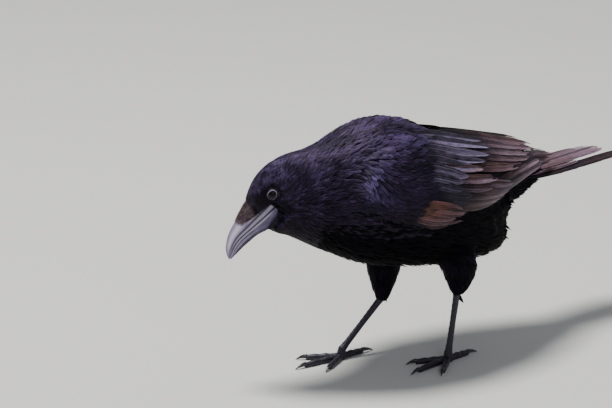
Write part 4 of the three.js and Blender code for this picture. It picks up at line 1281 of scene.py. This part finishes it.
def make_upper_bill(material):
    """A rounded ridge, flattened flanks and a rolled cutting edge with a groove above it."""
    share = np.linspace(0, 1, BILL_RINGS) ** 0.9
    along, ridge, mouth, _, half = np.moveaxis(smooth_rows(BILL_SECTIONS, share), -1, 0)[..., None]
    up_side = np.abs(np.cos(BILL_TURN)) ** 0.95
    groove = 0.55 * bell(up_side, 0.26, 0.05) * ease(along, 60, 44)
    # painted highlights: a broad band on the flank, a thin line above the cutting edge, and a band near the
    # gape
    shine = 0.85 * bell(up_side, 0.64, 0.22) * ease(along, 22, 34) * ease(along, 64, 50)
    shine = np.maximum(shine, 0.75 * bell(up_side, 0.14, 0.05) * ease(along, 62, 40))
    shine = np.maximum(shine, 0.7 * bell(up_side, 0.40, 0.10) * ease(along, 30, 16))
    # painted shade in the groove and along the cutting edge
    shade = 0.95 * bell(up_side, 0.26, 0.07) * ease(along, 59, 46)
    shade = np.maximum(shade, 0.95 * ease(up_side, 0.09, 0.03) * ease(along, 60, 50))
    palate = mouth + 0.25 * np.minimum(half, 3)
    bill_half("bill_upper", material, along, mouth, ridge - mouth, half, (0.95, 0.92), -groove, palate, shine,
              shade)


def make_lower_bill(material):
    """A little narrower, with a rounded rim and a keel under the chin."""
    share = np.linspace(0, 0.94, BILL_RINGS)
    along, _, mouth, under, half = np.moveaxis(smooth_rows(BILL_SECTIONS, share), -1, 0)[..., None]
    half = half * 0.92
    top = mouth - 0.55
    down_side = np.broadcast_to(np.abs(np.cos(BILL_TURN)) ** 0.9, (BILL_RINGS, BILL_POINTS))
    ledge = 0.35 * bell(down_side, 0.42, 0.06) * ease(along, 56, 30)
    # painted highlights: a line along the rim by the mouth, and a band along the side
    shine = bell(down_side, 0.04, 0.09) * ease(along, 1, 8)
    shine = np.maximum(shine, 0.4 * bell(down_side, 0.42, 0.09) * ease(along, 20, 35))
    # painted shade, darker towards the underside
    shade = 0.3 + 0.65 * ease(down_side, 0.45, 0.88)
    bill_half("bill_lower", material, along, top, under - top, half, (0.9, 0.9), ledge, top - 0.3, shine,
              shade)


# ------------------------------------------------------------------ bristles
BRISTLE_PATCH = {"from": -3, "to": 32, "above": 7.5}
BRISTLES = 2600
HAIR_ROWS = 5


def strands(sheets, starts, ways, ups, lengths, radii, droop, tone, front, roots):
    """Thin tapered three-sided hairs, bending down towards the surface that they lie on."""
    s = np.linspace(0, 1, HAIR_ROWS)[None, :, None]
    ways, ups = unit(ways)[:, None], ups[:, None]
    lines = starts[:, None] + ways * lengths[:, None, None] * s
    lines = lines + ups * (droop[:, None, None] * (s - 1.1 * s**2))
    side = unit(np.cross(ups, ways))
    angles = np.radians([90, 210, 330])
    width = radii[:, None, None] * (1 - s * 0.9)
    grid = [lines + side * np.cos(a) * width * 1.5 + ups * np.sin(a) * width for a in angles]
    lay = np.stack([tone, front, tone * 0, tone * 0], -1)[:, None, None]
    local = np.stack(np.broadcast_arrays(np.cos(angles), 2 * s - 1), -1)
    sheets.add(np.stack(grid, 2), patch=roots[:, None, None] + local * TUFT_PATCH, lay=lay, wrap=True)


def make_bristles(material):
    """Stiff little feathers that lie forward over the nostrils, from the forehead to mid bill."""
    rng = np.random.default_rng(70)
    n = BRISTLES
    along = rng.uniform(BRISTLE_PATCH["from"], BRISTLE_PATCH["to"] - 4, n)
    _, ridge, mouth, _, _ = bill_levels(along)
    spread = np.arccos(np.clip((BRISTLE_PATCH["above"] - mouth) / (ridge - mouth), 0, 1))
    spread = spread * (1 - 0.5 * np.clip(along / 33, 0, 1) ** 3)
    a = rng.uniform(-1, 1, n) * spread
    lift = rng.uniform(0.0, 0.5, n)

    def on_bill(step):
        _, r, m, _, h = bill_levels(along + step)
        return place(bill_spots(along + step, m + (r + lift - m) * np.cos(a), (h + lift) * np.sin(a)))

    starts = on_bill(0)
    ups = aim(straighten(starts), np.stack([np.cos(a) * BILL_SIN, np.sin(a), np.cos(a) * BILL_COS], -1))
    ways = unit(on_bill(2) - starts) + rng.normal(0, 0.10, (n, 3))
    lengths = rng.uniform(3.2, 5.6, n) * MM
    reach = (along - BRISTLE_PATCH["from"]) / (BRISTLE_PATCH["to"] - BRISTLE_PATCH["from"])
    roots = np.stack([0.05 + 0.9 * reach, 0.5 + 0.9 * a / math.pi], -1)
    sheets = Sheets()
    strands(sheets, starts, ways, ups, lengths, rng.uniform(0.12, 0.2, n) * MM, rng.uniform(0.6, 1.6, n) * MM,
            rng.random(n), ease(along, 3, 11), roots)
    sheets.build("nasal_bristle_hairs", material, "bristles", "nasal_bristles", unwrapped=True)


# ------------------------------------------------------------------ eyes
# Rings of the lids from the eye outward: angle from the line of sight, how far they stand out in mm, and
# how pale they are.
LIDS = [
    (36, 0.05, 0.2), (37.5, 0.26, 1.0), (40, 0.40, 1.0), (43, 0.40, 0.7), (46.5, 0.30, 0), (53, 0.26, 0),
    (61, 0.14, 0), (71, -0.1, 0), (82, -0.8, 0),
]


def eye_frame(word):
    """The eye's centre, and unit vectors out of the head, forward along the bill, and up from it."""
    spot, side = EYE_SPOTS[word], SIDES[word]
    gaze = aim(spot, np.array([0.16, side, 0.05]))
    ahead = aim(spot, np.array([BILL_COS, 0, -BILL_SIN]))
    ahead = unit(ahead - gaze * np.dot(ahead, gaze))
    return place(spot), gaze, ahead, np.cross(gaze, ahead) * side * -1


def make_eye(word):
    centre, gaze, ahead, above = eye_frame(word)
    polar = np.radians(np.linspace(0, 180, 40))[:, None]
    turn = np.linspace(0, 2 * math.pi, 48, endpoint=False)[None]
    radius = EYE["radius"] * MM * (1 + 0.045 * ease(np.degrees(polar), 40, 18))
    middle = centre + (np.cos(polar) * radius)[..., None] * gaze
    across = np.sin(polar) * radius
    sheets = Sheets()
    sheets.add(rings(middle, ahead, above, across, across, turn)[None], wrap=True)
    sheets.build(f"eye_globe_{word}", eye_material(centre, gaze), "eye", f"eye_{word}")


def lid_grid(word):
    """Rings of bare, finely folded skin round an eye, with their lay."""
    centre, gaze, ahead, above = eye_frame(word)
    turn = np.linspace(0, 2 * math.pi, 72, endpoint=False)[None]
    polar, proud, pale = np.array(LIDS).T[..., None]
    number = np.arange(len(LIDS))[:, None]
    folds = 0.05 * np.sin(turn * 26 + number) * (number > 1)
    angle = np.radians(polar * (1 + 0.10 * np.cos(2 * turn)))
    radius = (EYE["radius"] + proud + folds) * MM
    middle = centre + (np.cos(angle) * radius)[..., None] * gaze
    across = np.sin(angle) * radius
    grid = rings(middle, ahead, above, across, across, turn)
    # painted light: palest above; and less towards the bill
    height = (grid[2] - centre)[:, 2]
    pale = pale * (0.5 + 0.5 * ease(height / np.abs(height).max(), -0.6, 0.9))
    pale = pale * (1 - 0.7 * ease(np.cos(turn), 0.5, 1.0))
    return grid, np.stack([pale, pale * 0, pale * 0, pale * 0], -1)


# ------------------------------------------------------------------ skin, legs and feet
# Reach aside and ahead of the shank along its length, and the swelling of a toe's pads along it.
SHANK = [[0, 3.2, 3.8], [0.1, 2.7, 3.4], [0.5, 2.4, 3.0], [0.85, 2.6, 3.2], [1, 3.6, 3.8]]
TOE_SHAPE = [[0, 1], [0.3, 0.9], [0.42, 1], [0.6, 0.84], [0.72, 0.94], [1, 0.76]]
# Claw: radius along it as a share of the toe's, and how high it arches.
CLAW_SHAPE = [[0, 0.62], [0.12, 0.7], [0.3, 0.62], [0.6, 0.44], [0.9, 0.2], [1, 0.05]]
CLAW_ARCH = [[0, 1.0], [0.3, 1.5], [0.6, 1.3], [1, 0.1]]
# The ball of the foot closes the shank on the floor: heights and radii of its rings.
FOOT_BALL = [(5.0, 4.5), (3.0, 4.6), (1.2, 4.3), (0.25, 3.7), (0.0, 2.6), (0.0, 0.2)]
SHANK_RINGS = 110
SHANK_SIDES = 28
SHANK_HIDDEN = 7
SKIN_DEPTH = 0.9


def sawtooth(x):
    """Overlapping plates: each rises slowly and drops at its edge."""
    t = x - np.floor(x)
    return t**1.5 * ease(1 - t, 0, 0.14)


def full_turn(points):
    return np.linspace(0, 2 * math.pi, points, endpoint=False)[None]


def shank_grid(word):
    leg, side = LEGS[word], SIDES[word]
    heel = np.array([side * leg["heel"][1], -leg["heel"][0], leg["heel"][2]])
    foot = np.array([side * leg["foot"][1], -leg["foot"][0], FOOT_JOINT_UP])
    run = unit(foot - heel)
    heel = heel - run * SHANK_HIDDEN
    share = np.linspace(0, 1, SHANK_RINGS)[:, None]
    length = np.linalg.norm(foot - heel)
    key = np.clip((share * length - SHANK_HIDDEN) / (length - SHANK_HIDDEN), 0, 1)
    aside, ahead = read_off(SHANK, key)
    front = unit(np.cross(np.cross(run, FORWARD), run))
    sideways = np.cross(run, front)
    a = full_turn(SHANK_SIDES)
    scutes = 0.34 * sawtooth(share * length / 5.2) * ease(np.cos(a), -0.15, 0.35)
    keel = 0.25 * ease(-np.cos(a), 0.8, 1.0)
    centre = (heel + (foot - heel) * share)[:, None]
    grid = rings(centre, front, sideways, ahead - 0.15 + scutes + keel, aside - 0.1 + scutes, a)
    up, radius = np.array(FOOT_BALL).T[..., None]
    base = (foot * [1, 1, 0] + up * UP)[:, None]
    ball = rings(base, FORWARD, sideways * [1, 1, 0], radius, radius, a)
    return np.concatenate([grid, ball]) * MM + SHIFT


def digit_rings(word, toe, start, length, share, reach, reach_up, height, turn):
    """Rings along a toe or claw from `start` mm beyond the foot joint, flat where they meet the floor."""
    leg, side = LEGS[word], SIDES[word]
    angle = math.radians(leg["toe_yaw"] + toe["yaw"])
    heading = np.array([side * math.sin(angle), -math.cos(angle), 0])
    root = np.array([side * leg["foot"][1], -leg["foot"][0], 0]) + heading * start
    centre = root + heading * (length * share) + UP * height
    grid = rings(centre[:, None], np.cross(UP, heading), UP, reach, reach_up, turn)
    grid[..., 2] = np.maximum(grid[..., 2], 0.0)
    return grid * MM + SHIFT


def toe_grid(word, toe):
    length = toe["length"] + 3.5
    share = np.linspace(0, 1, 64)[:, None]
    radius = TOE_RADIUS * read_off(TOE_SHAPE, share)[0] * toe["stout"]
    a = full_turn(24)
    scutes = 0.28 * sawtooth(share * length / 2.7) * ease(np.sin(a), 0.1, 0.5)
    pads = 0.22 * np.abs(np.sin(share * length / 1.7)) * ease(-np.sin(a), 0.2, 0.9)
    reach = radius - 0.15 + scutes + pads
    return digit_rings(word, toe, PAD_REACH - 3.5, length, share, reach, reach, radius * 0.93, a)


def claw_grid(word, toe):
    share = np.linspace(0, 1, 30)[:, None]
    radius = TOE_RADIUS * read_off(CLAW_SHAPE, share)[0]
    a = full_turn(18)
    narrow = radius * (0.78 + 0.22 * np.sin(a))
    height = radius * 0.95 + read_off(CLAW_ARCH, share)[0]
    start, length = PAD_REACH + toe["length"] - 1.5, toe["claw"] + 1.8
    return digit_rings(word, toe, start, length, share, narrow, radius, height, a)


def make_claws(material):
    for word in SIDES:
        for digit, toe in TOES.items():
            claw = Sheets()
            claw.add(claw_grid(word, toe)[None], wrap=True)
            claw.build(f"claw_horn_{digit}_{word}", material, "claw", f"claw_{digit}_{word}", closed=True)


def make_skin():
    """One skin: the shrunk body form, the scaled shanks and toes, and the lids."""
    depth = coat_sizes(straighten(form_points), form_normals, part_of(form_points))[:, 3] * MM * SKIN_DEPTH
    body = form_points - form_normals * depth[:, None]
    form.data.vertices.foreach_set("co", body.ravel())
    soften(form, 2)
    settle(form)
    form.data.materials.clear()
    form.data.materials.append(skin_material())
    form.data.polygons.foreach_set("use_smooth", np.ones(len(form.data.polygons), bool))
    scaled, lids = Sheets(), Sheets()
    for word in SIDES:
        scaled.add(shank_grid(word)[None], wrap=True)
        for toe in TOES.values():
            scaled.add(toe_grid(word, toe)[None], wrap=True)
        grid, lay = lid_grid(word)
        lids.add(grid[None], lay=lay[None], wrap=True)
    legs = scaled.build("legs", leg_material(), "leg_scales", closed=True)
    rims = lids.build("lids", lid_material(), "leg_scales")
    bpy.ops.object.select_all(action="DESELECT")
    for piece in (form, legs, rims):
        piece.select_set(True)
    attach(form, "root")
    bpy.context.view_layer.objects.active = form
    bpy.ops.object.join()
    form.name = "skin"
    limbs = [f"{part}_{word}" for word in SIDES for part in ("tarsus", "toe_1", "toe_2", "toe_3", "toe_4")]
    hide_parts(*FLESH, *limbs)


# ------------------------------------------------------------------ the crow
FIRST_WING_SEED = {"left": 60, "right": 40}

add_camera()
add_studio()
feathers = {name: feather_material(name) for name in FEATHERS}
faces = form_faces()
for name in COAT:
    coat_piece(name, faces, feathers)
for word in SIDES:
    for number, name in enumerate(WING_ROWS):
        wing_row(word, name, feathers, FIRST_WING_SEED[word] + number)
make_tail(feathers["flight_vane"])
horn = bill_material()
make_upper_bill(horn)
make_lower_bill(horn)
make_bristles(bristle_material())
for word in SIDES:
    make_eye(word)
make_claws(claw_material())
make_skin()
